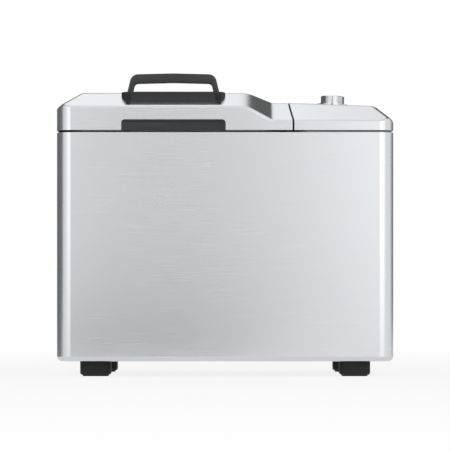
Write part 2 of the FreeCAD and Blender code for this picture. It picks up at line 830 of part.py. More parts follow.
# Viewing window behind the handle: a frame, an outer pane and an inner pane.
pane_across = ("handle_at - window_length / 2", "handle_at + window_length / 2")
pane_along = ("window_at - window_depth / 2", "window_at + window_depth / 2")
pane_tall = ("lid_top - glass_thick", "lid_top + 0.2")
window_hole = slab(
    "window_hole",
    "XY",
    inset(pane_across, "-frame_lap"),
    inset(pane_along, "-frame_lap"),
    ("lid_top - glass_thick - skin * 3", "lid_top + skin"),
    "window_corner + frame_lap",
)
frame_sleeve = slab(
    "frame_sleeve",
    "XY",
    inset(pane_across, "-frame_lap"),
    inset(pane_along, "-frame_lap"),
    ("lid_top - glass_thick - 1", "lid_top"),
    "window_corner + frame_lap",
)
frame_lip = slab(
    "frame_lip",
    "XY",
    inset(pane_across, "-frame_lip"),
    inset(pane_along, "-frame_lip"),
    ("lid_top", "lid_top + 0.8"),
    "window_corner + frame_lip",
)
frame_clear = slab(
    "frame_clear", "XY", pane_across, pane_along, ("lid_top - glass_thick", "lid_top + 5"), "window_corner"
)
frame_sight = slab(
    "frame_sight",
    "XY",
    inset(pane_across, "frame_lap"),
    inset(pane_along, "frame_lap"),
    ("lid_top - 15", "lid_top + 5"),
    "window_corner - frame_lap / 2",
)
window_frame = cut(
    "window_frame", fuse("frame_block", frame_sleeve, frame_lip), frame_clear, frame_sight
)
window_glass = slab("window_glass", "XY", pane_across, pane_along, pane_tall, "10")

# Lid hinge: knuckles on the case side and on the lid side share a pin at each place.
hinge_tools = {"case": [], "lid": [], "pins": [], "notches": []}
for index, place in enumerate(("hinge_left", "hinge_right")):
    side = "knuckle_length"
    for turn, start in enumerate((f"{place} - 1.5 * {side} - 0.4", f"{place} + 0.5 * {side} + 0.4")):
        knuckle = rod(
            f"case_knuckle_{index}_{turn}", "knuckle_radius", (start, "hinge_y", "hinge_z"), side, "x"
        )
        pedestal = block(
            f"case_pedestal_{index}_{turn}",
            (start, f"{start} + {side}"),
            ("hinge_y - knuckle_radius", "hinge_y + knuckle_radius / 2"),
            ("case_top", "hinge_z"),
        )
        hinge_tools["case"].append(fuse(f"case_hinge_{index}_{turn}", knuckle, pedestal))
    middle = f"{place} - 0.5 * {side}"
    knuckle = rod(f"lid_knuckle_{index}", "knuckle_radius", (middle, "hinge_y", "hinge_z"), side, "x")
    leaf = block(
        f"lid_leaf_{index}",
        (middle, f"{middle} + {side}"),
        ("case_depth / 2 - lid_back", "hinge_y + knuckle_radius"),
        ("hinge_z", "hinge_z + 19"),
    )
    hinge_tools["lid"].append(fuse(f"lid_hinge_{index}", knuckle, leaf))
    start = f"{place} - 1.5 * {side} - 0.2"
    pin = rod(
        f"hinge_pin_{index}",
        "knuckle_bore - running_gap",
        (start, "hinge_y", "hinge_z"),
        f"3 * {side} + 0.4",
        "x",
    )
    hinge_tools["pins"].append(pin)
    hinge_tools["notches"].append(
        block(
            f"hinge_notch_{index}",
            (f"{place} - 1.5 * {side} - 1.4", f"{place} + 1.5 * {side} + 1.4"),
            ("hinge_y - knuckle_radius - 1.5", "case_depth"),
            ("case_top", "hinge_z + knuckle_radius + 1.5"),
        )
    )
hinge_bores = [
    rod(
        f"hinge_bore_{index}",
        "knuckle_bore",
        (f"{place} - 3 * knuckle_length", "hinge_y", "hinge_z"),
        "6 * knuckle_length",
        "x",
    )
    for index, place in enumerate(("hinge_left", "hinge_right"))
]
hinge_brackets = cut("hinge_brackets", group("bracket_group", *hinge_tools["case"]), *hinge_bores)
lid_hinge_leaves = cut("lid_hinge_leaves", group("leaf_group", *hinge_tools["lid"]), *hinge_bores)
hinge_pins = group("hinge_pins", *hinge_tools["pins"])

lid_shell = cut(
    "lid_shell",
    fuse("lid_block", lid_skin, *lid_bosses),
    tray_outer,
    lid_grip,
    window_hole,
    *lid_boss_holes,
    *hinge_tools["notches"],
)

# Lid underside: a plastic plate, a pressed liner and a seal that meets the oven's flange.
liner_across = ("oven_at - liner_width / 2", "oven_at + liner_width / 2")
liner_along = ("-liner_depth / 2", "liner_depth / 2")
liner_top = "lid_bottom + liner_height"
plate_shape = lid_part(top_form(skin + 0.25), skin + 0.25)
plate_blank = solid(
    "plate_blank", plate_shape.common(layer("lid_bottom + 1", "lid_bottom + 1 + lid_plate"))
)
liner_room = slab(
    "liner_room",
    "XY",
    inset(liner_across, "-0.4"),
    inset(liner_along, "-0.4"),
    ("lid_bottom - 5", liner_top),
    "liner_corner",
)
grip_room = block(
    "grip_room",
    grip_across,
    ("-case_depth", "-case_depth / 2 + grip_thick + 0.2"),
    ("lid_bottom - 5", liner_top),
)
lid_base = cut("lid_base", plate_blank, liner_room, grip_room, *lid_boss_holes, *hinge_tools["notches"])
liner_flange = slab(
    "liner_flange_blank",
    "XY",
    inset(liner_across, "-liner_flange"),
    inset(liner_along, "-liner_lap"),
    ("lid_bottom", "lid_bottom + liner_wall"),
    "26",
)
liner_dome = slab(
    "liner_dome", "XY", liner_across, liner_along, ("lid_bottom", f"{liner_top} + liner_wall"), "liner_corner"
)
dome_top = at_height(f"{liner_top} + liner_wall")
liner_dome_soft = rounded("liner_dome_soft", liner_dome, "liner_round", dome_top)
liner_inner = slab(
    "liner_inner",
    "XY",
    inset(liner_across, "liner_wall"),
    inset(liner_along, "liner_wall"),
    ("lid_bottom - 2", liner_top),
    "liner_corner - liner_wall",
)
liner_inner_soft = rounded("liner_inner_soft", liner_inner, "liner_round - liner_wall", at_height(liner_top))
liner_sight = slab(
    "liner_sight",
    "XY",
    inset(pane_across, "6"),
    inset(pane_along, "6"),
    (f"{liner_top} - 4", f"{liner_top} + 5"),
    "8",
)
lid_liner = cut(
    "lid_liner",
    fuse("liner_block", liner_flange, liner_dome_soft),
    liner_inner_soft,
    liner_sight,
    *lid_boss_holes,
)
inner_glass = slab(
    "inner_glass", "XY", pane_across, pane_along, (
        f"{liner_top} + liner_wall", f"{liner_top} + liner_wall + glass_thick"
    ), "10"
)
oven_across = ("oven_at - oven_width / 2", "oven_at + oven_width / 2")
oven_along = ("-oven_depth / 2", "oven_depth / 2")
seal_tall = ("case_top + oven_wall + seal_gap", "lid_bottom")
seal_outer = slab(
    "seal_outer",
    "XY",
    inset(oven_across, "-seal_width"),
    inset(oven_along, "-seal_width"),
    seal_tall,
    "oven_corner + 6",
)
seal_inner = slab(
    "seal_inner", "XY", oven_across, oven_along, ("case_top", "lid_bottom + 2"), "oven_corner - 1"
)
lid_seal = cut("lid_seal", seal_outer, seal_inner)

# Top deck inside the wrap, with a raised plinth that carries the control cover.
deck_edge = "case_wall + 0.3"
deck_plate = slab(
    "deck_plate",
    "XY",
    inset(half_wide, deck_edge),
    inset(half_deep, deck_edge),
    ("case_top - deck_thick", "case_top"),
    f"case_corner - {deck_edge}",
)
plinth_across = ("split_at + 8", "case_width / 2 - deck_inset")
plinth = slab(
    "plinth",
    "XY",
    plinth_across,
    inset(half_deep, "deck_inset"),
    ("case_top - 1", "lid_bottom"),
    "case_corner - deck_inset",
)
cover_seat = solid(
    "cover_seat",
    cover_part(top_form(skin + 0.25), skin + 0.25).common(layer("lid_bottom", "lid_bottom + 6")),
)
deck_hole = slab(
    "deck_hole",
    "XY",
    inset(oven_across, "-0.5"),
    inset(oven_along, "-0.5"),
    ("case_top - deck_thick - 5", "case_top + 20"),
    "oven_corner + 0.5",
)
wiring_hole = slab(
    "wiring_hole",
    "XY",
    inset(plinth_across, "12"),
    inset(half_deep, "deck_inset + 12"),
    ("case_top - deck_thick - 5", "case_top + 20"),
    "10",
)
top_deck = cut("top_deck", fuse("deck_block", deck_plate, plinth, cover_seat), deck_hole, wiring_hole)


# Controls stand on the tilted top of the cover.
# u runs right from the split, v to the rear and w off the surface.
def tilt(piece, u="0", v="0", w="0"):
    """Set a piece on the control surface at a local point."""
    lean = "panel_tilt * 1 deg"
    piece.Placement.Rotation = FreeCAD.Rotation(Vector(0, 1, 0), size("panel_tilt"))
    piece.setExpression("Placement.Rotation.Angle", dims(lean))
    piece.setExpression(
        "Placement.Base.x", dims(f"split_at + ({u}) * cos({lean}) + ({w}) * sin({lean})")
    )
    piece.setExpression("Placement.Base.y", dims(v))
    piece.setExpression(
        "Placement.Base.z", dims(f"panel_top - ({u}) * sin({lean}) + ({w}) * cos({lean})")
    )
    return piece


def panel_slab(name, u, v, w, corner):
    """A rounded plate on the control surface."""
    return tilt(slab(name, "XY", u, v, w, corner))


def panel_rod(name, radius, u, v, w):
    """A cylinder that stands on the control surface."""
    piece = doc.addObject("Part::Cylinder", name)
    piece.setExpression("Radius", dims(radius))
    piece.setExpression("Height", dims(f"({w[1]}) - ({w[0]})"))
    return tilt(piece, u, v, w[0])


def about(middle, whole):
    """The low and high side of a length about a middle."""
    return (f"{middle} - ({whole}) / 2", f"{middle} + ({whole}) / 2")


fascia_u = ("fascia_left", "fascia_left + fascia_width")
fascia_v = about("0", "fascia_depth")
fascia_low = "fascia_proud - fascia_thick"
fascia_mid = "fascia_left + fascia_width / 2"
cover_recess = panel_slab("cover_recess", fascia_u, fascia_v, (fascia_low, "10"), "6")
cover_window = panel_slab("cover_window", inset(fascia_u, "4"), inset(fascia_v, "4"), ("-12", "10"), "4")
control_cover = cut("control_cover", cover_skin, cover_recess, cover_window)

display_u = about(fascia_mid, "display_length")
display_v = about("display_back", "display_depth")
display_lens = panel_slab("display_lens", display_u, display_v, (fascia_low, "fascia_proud + 0.1"), "3")
display_module = panel_slab(
    "display_module", inset(display_u, "-2"), inset(display_v, "-2"), (
        f"{fascia_low} - 6", fascia_low
    ), "2"
)

# Seven sprung buttons: name, place on the surface and length.
button_gap = "(fascia_width / 2 - button_length / 2 - 12)"
BUTTONS = [
    ("menu_up_button", f"{fascia_mid} - {button_gap}", "-34", "button_length"),
    ("menu_down_button", f"{fascia_mid} + {button_gap}", "-34", "button_length"),
    ("crust_button", f"{fascia_mid} - {button_gap}", "-20", "button_length"),
    ("loaf_button", f"{fascia_mid} + {button_gap}", "-20", "button_length"),
    ("timer_button", f"{fascia_mid} - {button_gap}", "-6", "button_length"),
    ("stop_button", f"{fascia_mid} + {button_gap}", "-6", "button_length"),
    ("start_button", fascia_mid, "10", "button_length * 2.4"),
]
board_top = "-board_down"
switch_top = f"{board_top} + 4.3"
button_holes, switches = [], []
for name, u, v, length in BUTTONS:
    cap_u, cap_v = about(u, length), about(v, "button_depth")
    cap = panel_slab(
        name + "_cap",
        cap_u,
        cap_v,
        (f"{fascia_low} - 1.5", "fascia_proud + 1.8"),
        "button_depth / 2 - 0.1",
    )
    flange = panel_slab(
        name + "_flange",
        inset(cap_u, "-1.4"),
        inset(cap_v, "-1.4"),
        (f"{fascia_low} - 1.5", f"{fascia_low} - 0.05"),
        "button_depth / 2 + 1.2",
    )
    stem = panel_rod(
        name + "_stem", "2", u, v, (f"{switch_top} + button_travel + 0.15", f"{fascia_low} - 1")
    )
    fuse(name, cap, flange, stem)
    button_holes.append(
        panel_slab(
            name + "_hole",
            inset(cap_u, "-0.2"),
            inset(cap_v, "-0.2"),
            ("-10", "10"),
            "button_depth / 2 + 0.1",
        )
    )
    switches.append(
        panel_slab(name + "_switch", about(u, "6"), about(v, "6"), (board_top, switch_top), "0.5")
    )

dial_u, dial_v = "dial_out", "-dial_front"
fascia_plate = panel_slab("fascia_plate", fascia_u, fascia_v, (fascia_low, "fascia_proud"), "6")
posts = []
for index, (end_u, end_v) in enumerate(((0, 0), (0, 1), (1, 0), (1, 1))):
    post_u = inset(fascia_u, "9")[end_u]
    post_v = inset(fascia_v, "9")[end_v]
    posts.append(
        panel_rod(f"board_post_{index}", "3", post_u, post_v, (board_top, f"{fascia_low} + 0.5"))
    )
dial_hole = panel_rod("dial_hole", "4.2", dial_u, dial_v, ("-12", "10"))
display_hole = panel_slab("display_hole", display_u, display_v, ("-10", "10"), "3")
control_fascia = cut(
    "control_fascia", fuse("fascia_block", fascia_plate, *posts), dial_hole, display_hole, *button_holes
)
board_sheet = panel_slab(
    "board_sheet", inset(fascia_u, "4"), inset(fascia_v, "4"), (f"{board_top} - 1.6", board_top), "2"
)

# Dial: a turned knob on a short shaft in its encoder, inside a fixed ring.
dial_low = "fascia_proud + 0.6"
dial_blank = panel_rod(
    "dial_blank", "dial_radius", dial_u, dial_v, (dial_low, f"{dial_low} + dial_height")
)
dial_shaft = panel_rod(
    "dial_shaft", "3", dial_u, dial_v, (f"{board_top} + 3", f"{dial_low} + dial_height * 0.6")
)


def dial_top_edge(edge):
    """An edge test: the round edges of the dial."""
    return abs(edge.Length - 2 * math.pi * size("dial_radius")) < 0.01


dial_soft = rounded("dial_soft", dial_blank, "1.2", dial_top_edge)
dial_knob = cut("dial_knob", dial_soft, dial_shaft)
ring_blank = panel_rod(
    "ring_blank", "dial_radius + 5", dial_u, dial_v, ("fascia_proud", "fascia_proud + 2")
)
ring_clear = panel_rod("ring_clear", "dial_radius + 0.5", dial_u, dial_v, ("-1", "10"))
dial_ring = cut("dial_ring", ring_blank, ring_clear)
encoder_block = panel_slab(
    "encoder_block", about(dial_u, "13"), about(dial_v, "13"), (board_top, f"{board_top} + 8"), "1"
)
encoder_bore = panel_rod("encoder_bore", "3 + running_gap", dial_u, dial_v, (f"{board_top} + 2.5", "10"))
control_board = cut(
    "control_board", fuse("board_block", board_sheet, encoder_block, *switches), encoder_bore
)

# Oven: a pressed tub that hangs from its flange on the deck.
oven_tall = ("oven_floor", "case_top + oven_wall")
oven_outer = slab("oven_outer", "XY", oven_across, oven_along, oven_tall, "oven_corner")
oven_outer_soft = rounded("oven_outer_soft", oven_outer, "10", at_height("oven_floor"))
oven_lip = slab(
    "oven_lip",
    "XY",
    inset(oven_across, "-oven_flange"),
    inset(oven_along, "-oven_flange"),
    ("case_top", "case_top + oven_wall"),
    "oven_corner + oven_flange",
)
oven_inner = slab(
    "oven_inner", "XY", inset(oven_across, "oven_wall"), inset(oven_along, "oven_wall"), (
        "floor_top", "case_top + 10"
    ), "oven_corner - oven_wall"
)
oven_inner_soft = rounded("oven_inner_soft", oven_inner, "10 - oven_wall", at_height("floor_top"))
oven_right = "oven_at + oven_width / 2"
heater_z = "floor_top + heater_up"
leg_holes = [
    rod(f"leg_hole_{index}", "heater_radius + 0.3", (f"{oven_right} - 6", aside, heater_z), "12", "x")
    for index, aside in enumerate(("-14", "14"))
]
sensor_start = (f"{oven_right} - 9", "40", "floor_top + 45")
sensor_hole = rod("sensor_hole", "sensor_radius + 0.2", sensor_start, "24", "x")
nose_hole = rod("nose_hole", "14.2", ("oven_at", "0", "oven_floor - 5"), "15")
oven_liner = cut(
    "oven_liner",
    fuse("oven_block", oven_outer_soft, oven_lip),
    oven_inner_soft,
    nose_hole,
    sensor_hole,
    *leg_holes,
)

# Heating element: one bent tube whose legs leave through the right wall.
heat_x = size("oven_width / 2 - oven_wall - heater_inset")
heat_y = size("oven_depth / 2 - oven_wall - heater_inset")
leg_x = size("oven_width / 2 + 14")
heater_path = [
    (leg_x, -14),
    (heat_x, -14),
    (heat_x, -heat_y),
    (-heat_x, -heat_y),
    (-heat_x, heat_y),
    (heat_x, heat_y),
    (heat_x, 14),
    (leg_x, 14),
]
heater_points = [
    Vector(size("oven_at") + across, along, size(heater_z)) for across, along in heater_path
]
bend = size("heater_bend")
heater_tube = solid(
    "heater_tube", tube(heater_points, [10, bend, bend, bend, bend, 10], size("heater_radius"))
)
collars = [
    rod(f"collar_{index}", "heater_radius + 3", (oven_right, aside, heater_z), "5", "x")
    for index, aside in enumerate(("-14", "14"))
]
heating_element = fuse("heating_element", heater_tube, *collars)
clip_places = [("oven_at", str(-heat_y)), ("oven_at", str(heat_y)), (f"oven_at - {heat_x}", "0")]
heater_clips = group(
    "heater_clips",
    *[
        block(
            f"clip_{index}",
            about(across, "7"),
            about(along, "7"),
            ("floor_top", f"{heater_z} - heater_radius - 0.2"),
        )
        for index, (across, along) in enumerate(clip_places)
    ],
)
sensor_body = rod("sensor_body", "sensor_radius", sensor_start, "20", "x")
sensor_flange = rod("sensor_flange", "sensor_radius + 4", (oven_right, "40", "floor_top + 45"), "2", "x")
temperature_sensor = fuse("temperature_sensor", sensor_body, sensor_flange)


def ring(name, outer, inner, place, low, high):
    """A flat ring about a vertical axis."""
    across, along = place
    whole = rod(name + "_whole", outer, (across, along, low), f"({high}) - ({low})")
    bore = rod(name + "_bore", inner, (across, along, f"({low}) - 1"), f"({high}) - ({low}) + 2")
    return cut(name, whole, bore)


drive_place = ("oven_at", "0")
ring_low = "floor_top + 5"
socket_wall = ring(
    "socket_wall", "socket_radius", "socket_inner", drive_place, "floor_top", "floor_top + socket_height"
)
socket_step = ring(
    "socket_step", "socket_inner + 1", "socket_inner - 7", drive_place, "floor_top", f"{ring_low} - 0.3"
)
pan_socket = fuse("pan_socket", socket_wall, socket_step)

# Bread pan with a foot ring, a rim and two ears for its handle.
pan_across = ("oven_at - pan_width / 2", "oven_at + pan_width / 2")
pan_along = ("-pan_depth / 2", "pan_depth / 2")
pan_outer = slab("pan_outer", "XY", pan_across, pan_along, ("pan_bottom", "pan_top"), "pan_corner")
pan_outer_soft = rounded("pan_outer_soft", pan_outer, "9", at_height("pan_bottom"))
pan_lip = slab(
    "pan_lip",
    "XY",
    inset(pan_across, "-pan_rim"),
    inset(pan_along, "-pan_rim"),
    ("pan_top - pan_wall", "pan_top"),
    "pan_corner + pan_rim",
)
pan_inner = slab(
    "pan_inner", "XY", inset(pan_across, "pan_wall"), inset(pan_along, "pan_wall"), (
        "pan_bottom + pan_wall", "pan_top + 5"
    ), "pan_corner - pan_wall"
)
pan_inner_soft = rounded("pan_inner_soft", pan_inner, "9 - pan_wall", at_height("pan_bottom + pan_wall"))
pan_tub = cut("pan_tub", fuse("pan_blank", pan_outer_soft, pan_lip), pan_inner_soft)
pan_foot = ring("pan_foot", "pan_ring", "pan_ring - 3", drive_place, ring_low, "pan_bottom + 0.5")
wire_z = "pan_top + wire_radius + 0.4"
ears, ear_bores = [], []
for index, (low, high) in enumerate(
    (
        (f"{pan_across[0]} - pan_rim + 0.5", f"{pan_across[0]} - pan_rim + 2.5"),
        (f"{pan_across[1]} + pan_rim - 2.5", f"{pan_across[1]} + pan_rim - 0.5"),
    )
):
    ears.append(
        block(
            f"pan_ear_{index}",
            (low, high),
            ("-7", "7"),
            ("pan_top - 0.5", "pan_top + wire_radius * 3.5"),
        )
    )
    ear_bores.append(
        rod(f"pan_ear_bore_{index}", "wire_radius + 0.2", (f"{low} - 2", "0", wire_z), "6", "x")
    )
pan_hole = rod("pan_hole", "9", ("oven_at", "0", "pan_bottom - 2"), "pan_wall + 4")
bread_pan = cut("bread_pan", fuse("pan_block", pan_tub, pan_foot, *ears), pan_hole, *ear_bores)
bush_sleeve = rod("bush_sleeve", "9", ("oven_at", "0", "pan_bottom - 6"), "6 + pan_wall + 1")
bush_rim = rod("bush_rim", "13", ("oven_at", "0", "pan_bottom + pan_wall"), "2")
bush_bore = rod("bush_bore", "shaft_radius + running_gap", ("oven_at", "0", "pan_bottom - 10"), "30")
pan_bush = cut("pan_bush", fuse("bush_block", bush_sleeve, bush_rim), bush_bore)

# Pan handle: a wire bail, folded to the front at rest.
arm_x = size("pan_width / 2 + pan_rim + 3.5")
stub_x = size("pan_width / 2 + pan_rim - 5")
lean_y = -size("wire_straight")
reach_y = -size("wire_arm")
bridge_x = arm_x - size("wire_lean")
half_path = [(stub_x, 0), (arm_x, 0), (arm_x, lean_y), (bridge_x, reach_y)]
wire_path = [(-across, along) for across, along in half_path] + half_path[::-1]
wire_points = [Vector(size("oven_at") + across, along, size(wire_z)) for across, along in wire_path]
pan_handle = solid("pan_handle", tube(wire_points, [4, 20, 14, 14, 20, 4], size("wire_radius")))

# Kneading paddle on its shaft, with a dog coupling under the pan.
dog_low = "pan_bottom - 10"
paddle_shaft = rod("paddle_shaft", "shaft_radius", ("oven_at", "0", dog_low), "36")
dog_disc = rod("dog_disc", "dog_radius + 1", ("oven_at", "0", dog_low), "3.5")
lugs = [
    block(f"dog_lug_{index}", about("oven_at", "12"), side, (f"{dog_low} - 6", f"{dog_low} + 0.5"))
    for index, side in enumerate(
        (
            ("-dog_width / 2 - 7.5", "-dog_width / 2 - 1.5"),
            ("dog_width / 2 + 1.5", "dog_width / 2 + 7.5"),
        )
    )
]
pan_coupling = cut("pan_coupling", fuse("dog_block", dog_disc, *lugs), paddle_shaft)
hub_low = "pan_bottom + pan_wall + 2.5"
paddle_hub = rod("paddle_hub", "hub_radius", ("oven_at", "0", hub_low), "24")
blade_points = [
    ("oven_at - 4", hub_low),
    ("oven_at + blade_reach", hub_low),
    ("oven_at + blade_reach + 4", f"{hub_low} + 6"),
    ("oven_at + blade_reach * 0.55", f"{hub_low} + 30"),
    ("oven_at + blade_reach * 0.25", f"{hub_low} + 30"),
    ("oven_at - 4", f"{hub_low} + 20"),
]
blade = prism("blade", "XZ", blade_points, ("-2.5", "2.5"))
paddle_bore = rod(
    "paddle_bore", "shaft_radius", ("oven_at", "0", f"{hub_low} - 5"), f"{dog_low} + 41 - ({hub_low})"
)
kneading_paddle = cut("kneading_paddle", fuse("paddle_block", paddle_hub, blade), paddle_bore)

# Drive: a bearing under the oven, shaft, pulleys, belt and motor on a chassis plate.
bearing_tube = rod("bearing_tube", "12", ("oven_at", "0", "chassis_up"), "floor_top + 2 - chassis_up")
bearing_flange = rod("bearing_flange", "28", ("oven_at", "0", "oven_floor - 6"), "6")
bearing_nose = rod("bearing_nose", "14", ("oven_at", "0", "oven_floor - 1"), "oven_wall + 3")
bearing_bore = rod("bearing_bore", "8", ("oven_at", "0", "chassis_up - 5"), "60")
drive_bearing = cut(
    "drive_bearing", fuse("bearing_block", bearing_tube, bearing_flange, bearing_nose), bearing_bore
)
shaft_bushes = group(
    "shaft_bushes",
    ring("bush_low", "8", "shaft_radius + running_gap", drive_place, "chassis_up", "chassis_up + 10"),
    ring("bush_high", "8", "shaft_radius + running_gap", drive_place, "floor_top - 8", "floor_top + 2"),
)
drive_shaft = rod(
    "drive_shaft",
    "shaft_radius",
    ("oven_at", "0", "pulley_bottom - 2"),
    "floor_top + 10.5 - pulley_bottom + 2",
)
coupling_hub = rod("coupling_hub", "10", ("oven_at", "0", "floor_top + 3"), "2.5")
coupling_bar = block(
    "coupling_bar",
    about("oven_at", "2 * dog_radius"),
    about("0", "dog_width"),
    ("floor_top + 5", "floor_top + 11"),
)
coupling_bore = rod("coupling_bore", "shaft_radius", ("oven_at", "0", "floor_top"), "30")
drive_coupling = cut("drive_coupling", fuse("coupling_block", coupling_hub, coupling_bar), coupling_bore)
pulley_top = "pulley_bottom + pulley_height"


def pulley(name, radius, across, bore):
    """A belt pulley with a flange at each end."""
    wheel = rod(name + "_wheel", radius, (across, "0", "pulley_bottom"), "pulley_height")
    lower = rod(name + "_lower", f"{radius} + 3", (across, "0", "pulley_bottom"), "1.5")
    upper = rod(name + "_upper", f"{radius} + 3", (across, "0", f"{pulley_top} - 1.5"), "1.5")
    hole = rod(name + "_hole", bore, (across, "0", "pulley_bottom - 5"), "pulley_height + 10")
    return fuse(name + "_block", wheel, lower, upper), hole


driven_block, driven_hole = pulley("driven_pulley_part", "pulley_radius", "oven_at", "shaft_radius")
lightening = [
    rod(
        f"spoke_gap_{index}",
        "9",
        (
            f"oven_at + {across} * pulley_radius * 0.6",
            f"{along} * pulley_radius * 0.6",
            "pulley_bottom - 5",
        ),
        "pulley_height + 10",
    )
    for index, (across, along) in enumerate(((1, 0), (0, 1), (-1, 0), (0, -1)))
]
driven_pulley = cut("driven_pulley", driven_block, driven_hole, *lightening)
motor_block, motor_hole = pulley("motor_pulley_part", "pinion_radius", "motor_at", "4")
motor_pulley = cut("motor_pulley", motor_block, motor_hole)
motor_shaft = rod(
    "motor_shaft", "4", ("motor_at", "0", "pulley_bottom - 2"), "chassis_up + 16 - pulley_bottom"
)


def belt_face(grow):
    """The area inside a belt run about both pulleys, grown by an amount."""
    large, small = size("pulley_radius") + grow, size("pinion_radius") + grow
    left, right = size("oven_at"), size("motor_at")
    lean = math.acos((large - small) / (right - left))
    height = size("pulley_bottom + 2.5")

    def point(middle, radius, angle):
        return Vector(middle + radius * math.cos(angle), radius * math.sin(angle), height)

    edges = [
        Part.Arc(
            point(left, large, lean), point(left, large, math.pi), point(left, large, -lean)
        ).toShape(),
        Part.makeLine(point(left, large, -lean), point(right, small, -lean)),
        Part.Arc(
            point(right, small, -lean), point(right, small, 0), point(right, small, lean)
        ).toShape(),
        Part.makeLine(point(right, small, lean), point(left, large, lean)),
    ]
    return Part.Face(Part.Wire(edges))


belt_lift = Vector(0, 0, size("pulley_height - 5"))
belt_outer = belt_face(0.3 + size("belt_thick")).extrude(belt_lift)
drive_belt = solid("drive_belt", belt_outer.cut(belt_face(0.3).extrude(belt_lift)))

plate_across = ("oven_at - 85", "motor_at + 50")
chassis_blank = slab(
    "chassis_blank", "XY", plate_across, ("-62", "62"), ("chassis_up - 2", "chassis_up"), "8"
)
shaft_pass = rod("shaft_pass", "7", ("oven_at", "0", "chassis_up - 10"), "20")
rotor_pass = rod("rotor_pass", "10", ("motor_at", "0", "chassis_up - 10"), "20")
motor_screw_list, motor_screw_holes = [], []
for index, (across, along) in enumerate(((24, 0), (0, 24), (-24, 0), (0, -24))):
    middle_x, middle_y = f"motor_at + {across}", str(along)
    head = rod(f"motor_screw_head_{index}", "3.5", (middle_x, middle_y, "chassis_up - 2 - 2.4"), "2.4")
    stem = rod(f"motor_screw_stem_{index}", "2", (middle_x, middle_y, "chassis_up - 3"), "11")
    motor_screw_list.append(fuse(f"motor_screw_{index}", head, stem))
    motor_screw_holes.append(
        rod(f"motor_screw_hole_{index}", "2.1", (middle_x, middle_y, "chassis_up - 8"), "17")
    )
chassis_plate = cut("chassis_plate", chassis_blank, shaft_pass, rotor_pass, *motor_screw_holes)
housing_screws = group("housing_screws", *screws, *motor_screw_list)
motor_can = rod("motor_can", "motor_radius", ("motor_at", "0", "chassis_up"), "motor_height")
motor_can_soft = rounded("motor_can_soft", motor_can, "6", at_height("chassis_up + motor_height"))
motor_bore = rod("motor_bore", "4 + running_gap", ("motor_at", "0", "chassis_up - 5"), "24")
motor_case = cut("motor_case", motor_can_soft, motor_bore, *motor_screw_holes)
post_places = [
    (across, along)
    for across in (f"{plate_across[0]} + 9", f"{plate_across[1]} - 9")
    for along in ("-53", "53")
]
lower_posts = [
    rod(f"lower_post_{index}", "5", (across, along, "tray_top"), "chassis_up - 2 - (tray_top)")
    for index, (across, along) in enumerate(post_places)
]
oven_places = [(across, along) for across in ("oven_at - 60", "oven_at + 60") for along in ("-45", "45")]
upper_posts = [
    rod(f"upper_post_{index}", "5", (across, along, "chassis_up"), "oven_floor - chassis_up")
    for index, (across, along) in enumerate(oven_places)
]
chassis_posts = group("chassis_posts", *lower_posts, *upper_posts)

# Power board on standoffs behind the right wall.
wall_face = "case_width / 2 - case_wall"
board_low = "chassis_up + 94"
board_plate = slab(
    "board_plate",
    "YZ",
    ("-55", "55"),
    (board_low, f"{board_low} + 92"),
    (f"{wall_face} - 13.6", f"{wall_face} - 12"),
    "3",
)
transformer = block(
    "transformer",
    (f"{wall_face} - 40", f"{wall_face} - 13"),
    ("-44", "-8"),
    (f"{board_low} + 8", f"{board_low} + 46"),
)
relay = block(
    "relay",
    (f"{wall_face} - 30", f"{wall_face} - 13"),
    ("8", "38"),
    (f"{board_low} + 10", f"{board_low} + 28"),
)
capacitor = rod("capacitor", "8", (f"{wall_face} - 38", "22", f"{board_low} + 60"), "25", "x")
standoffs = [
    rod(f"standoff_{index}", "3", (f"{wall_face} - 13", along, f"{board_low} + {up}"), "13", "x")
    for index, (along, up) in enumerate((("-48", 7), ("48", 7), ("-48", 85), ("48", 85)))
]
power_board = fuse("power_board", board_plate, transformer, relay, capacitor, *standoffs)

NODES = [
    "case_wrap", "cord_inlet", "base_tray", "feet", "foot_pads", "housing_screws", "top_deck",
    "hinge_brackets", "hinge_pins", "control_cover", "control_fascia", "display_lens",
    "display_module", "control_board", "dial_ring", "oven_liner", "heating_element",
    "heater_clips", "temperature_sensor", "pan_socket", "drive_bearing", "shaft_bushes",
    "drive_belt", "chassis_plate", "chassis_posts", "motor_case", "power_board", "lid_shell",
    "lid_base", "lid_liner", "lid_seal", "lid_grip", "lid_screws", "lid_hinge_leaves",
    "window_frame", "window_glass", "inner_glass", "handle_tray", "handle_pins", "handle_bail",
    "bread_pan", "pan_bush", "pan_handle", "paddle_shaft", "pan_coupling", "kneading_paddle",
    "drive_shaft", "drive_coupling", "driven_pulley", "motor_pulley", "motor_shaft",
    "dial_knob", "dial_shaft",
]
NODES += [name for name, u, v, length in BUTTONS]

doc.recompute()
for item in doc.Objects:
    if "Invalid" in item.State or "Error" in item.State:
        raise RuntimeError(f"{item.Name} did not compute: {item.State}")
for name in NODES:
    node = doc.getObject(name)
    if node.Shape.isNull() or not node.Shape.isValid() or not node.Shape.Solids:
        raise RuntimeError(f"{name} has no valid solid")
    node.Label = name
    node.Shape.exportStep(f"parts/{node.Label}.step")
    box = node.Shape.BoundBox
    spans = " x ".join(f"{span:.1f}" for span in (box.XLength, box.YLength, box.ZLength))
    print(f"{name}: {len(node.Shape.Solids)} solid(s), {node.Shape.Volume:.0f} mm3, {spans}")
print(len(NODES), "nodes")
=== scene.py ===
"""Finishes, small pieces and a studio stage for a countertop bread machine.

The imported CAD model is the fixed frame: every piece here is placed from the boxes of its nodes.
"""

import json
import math

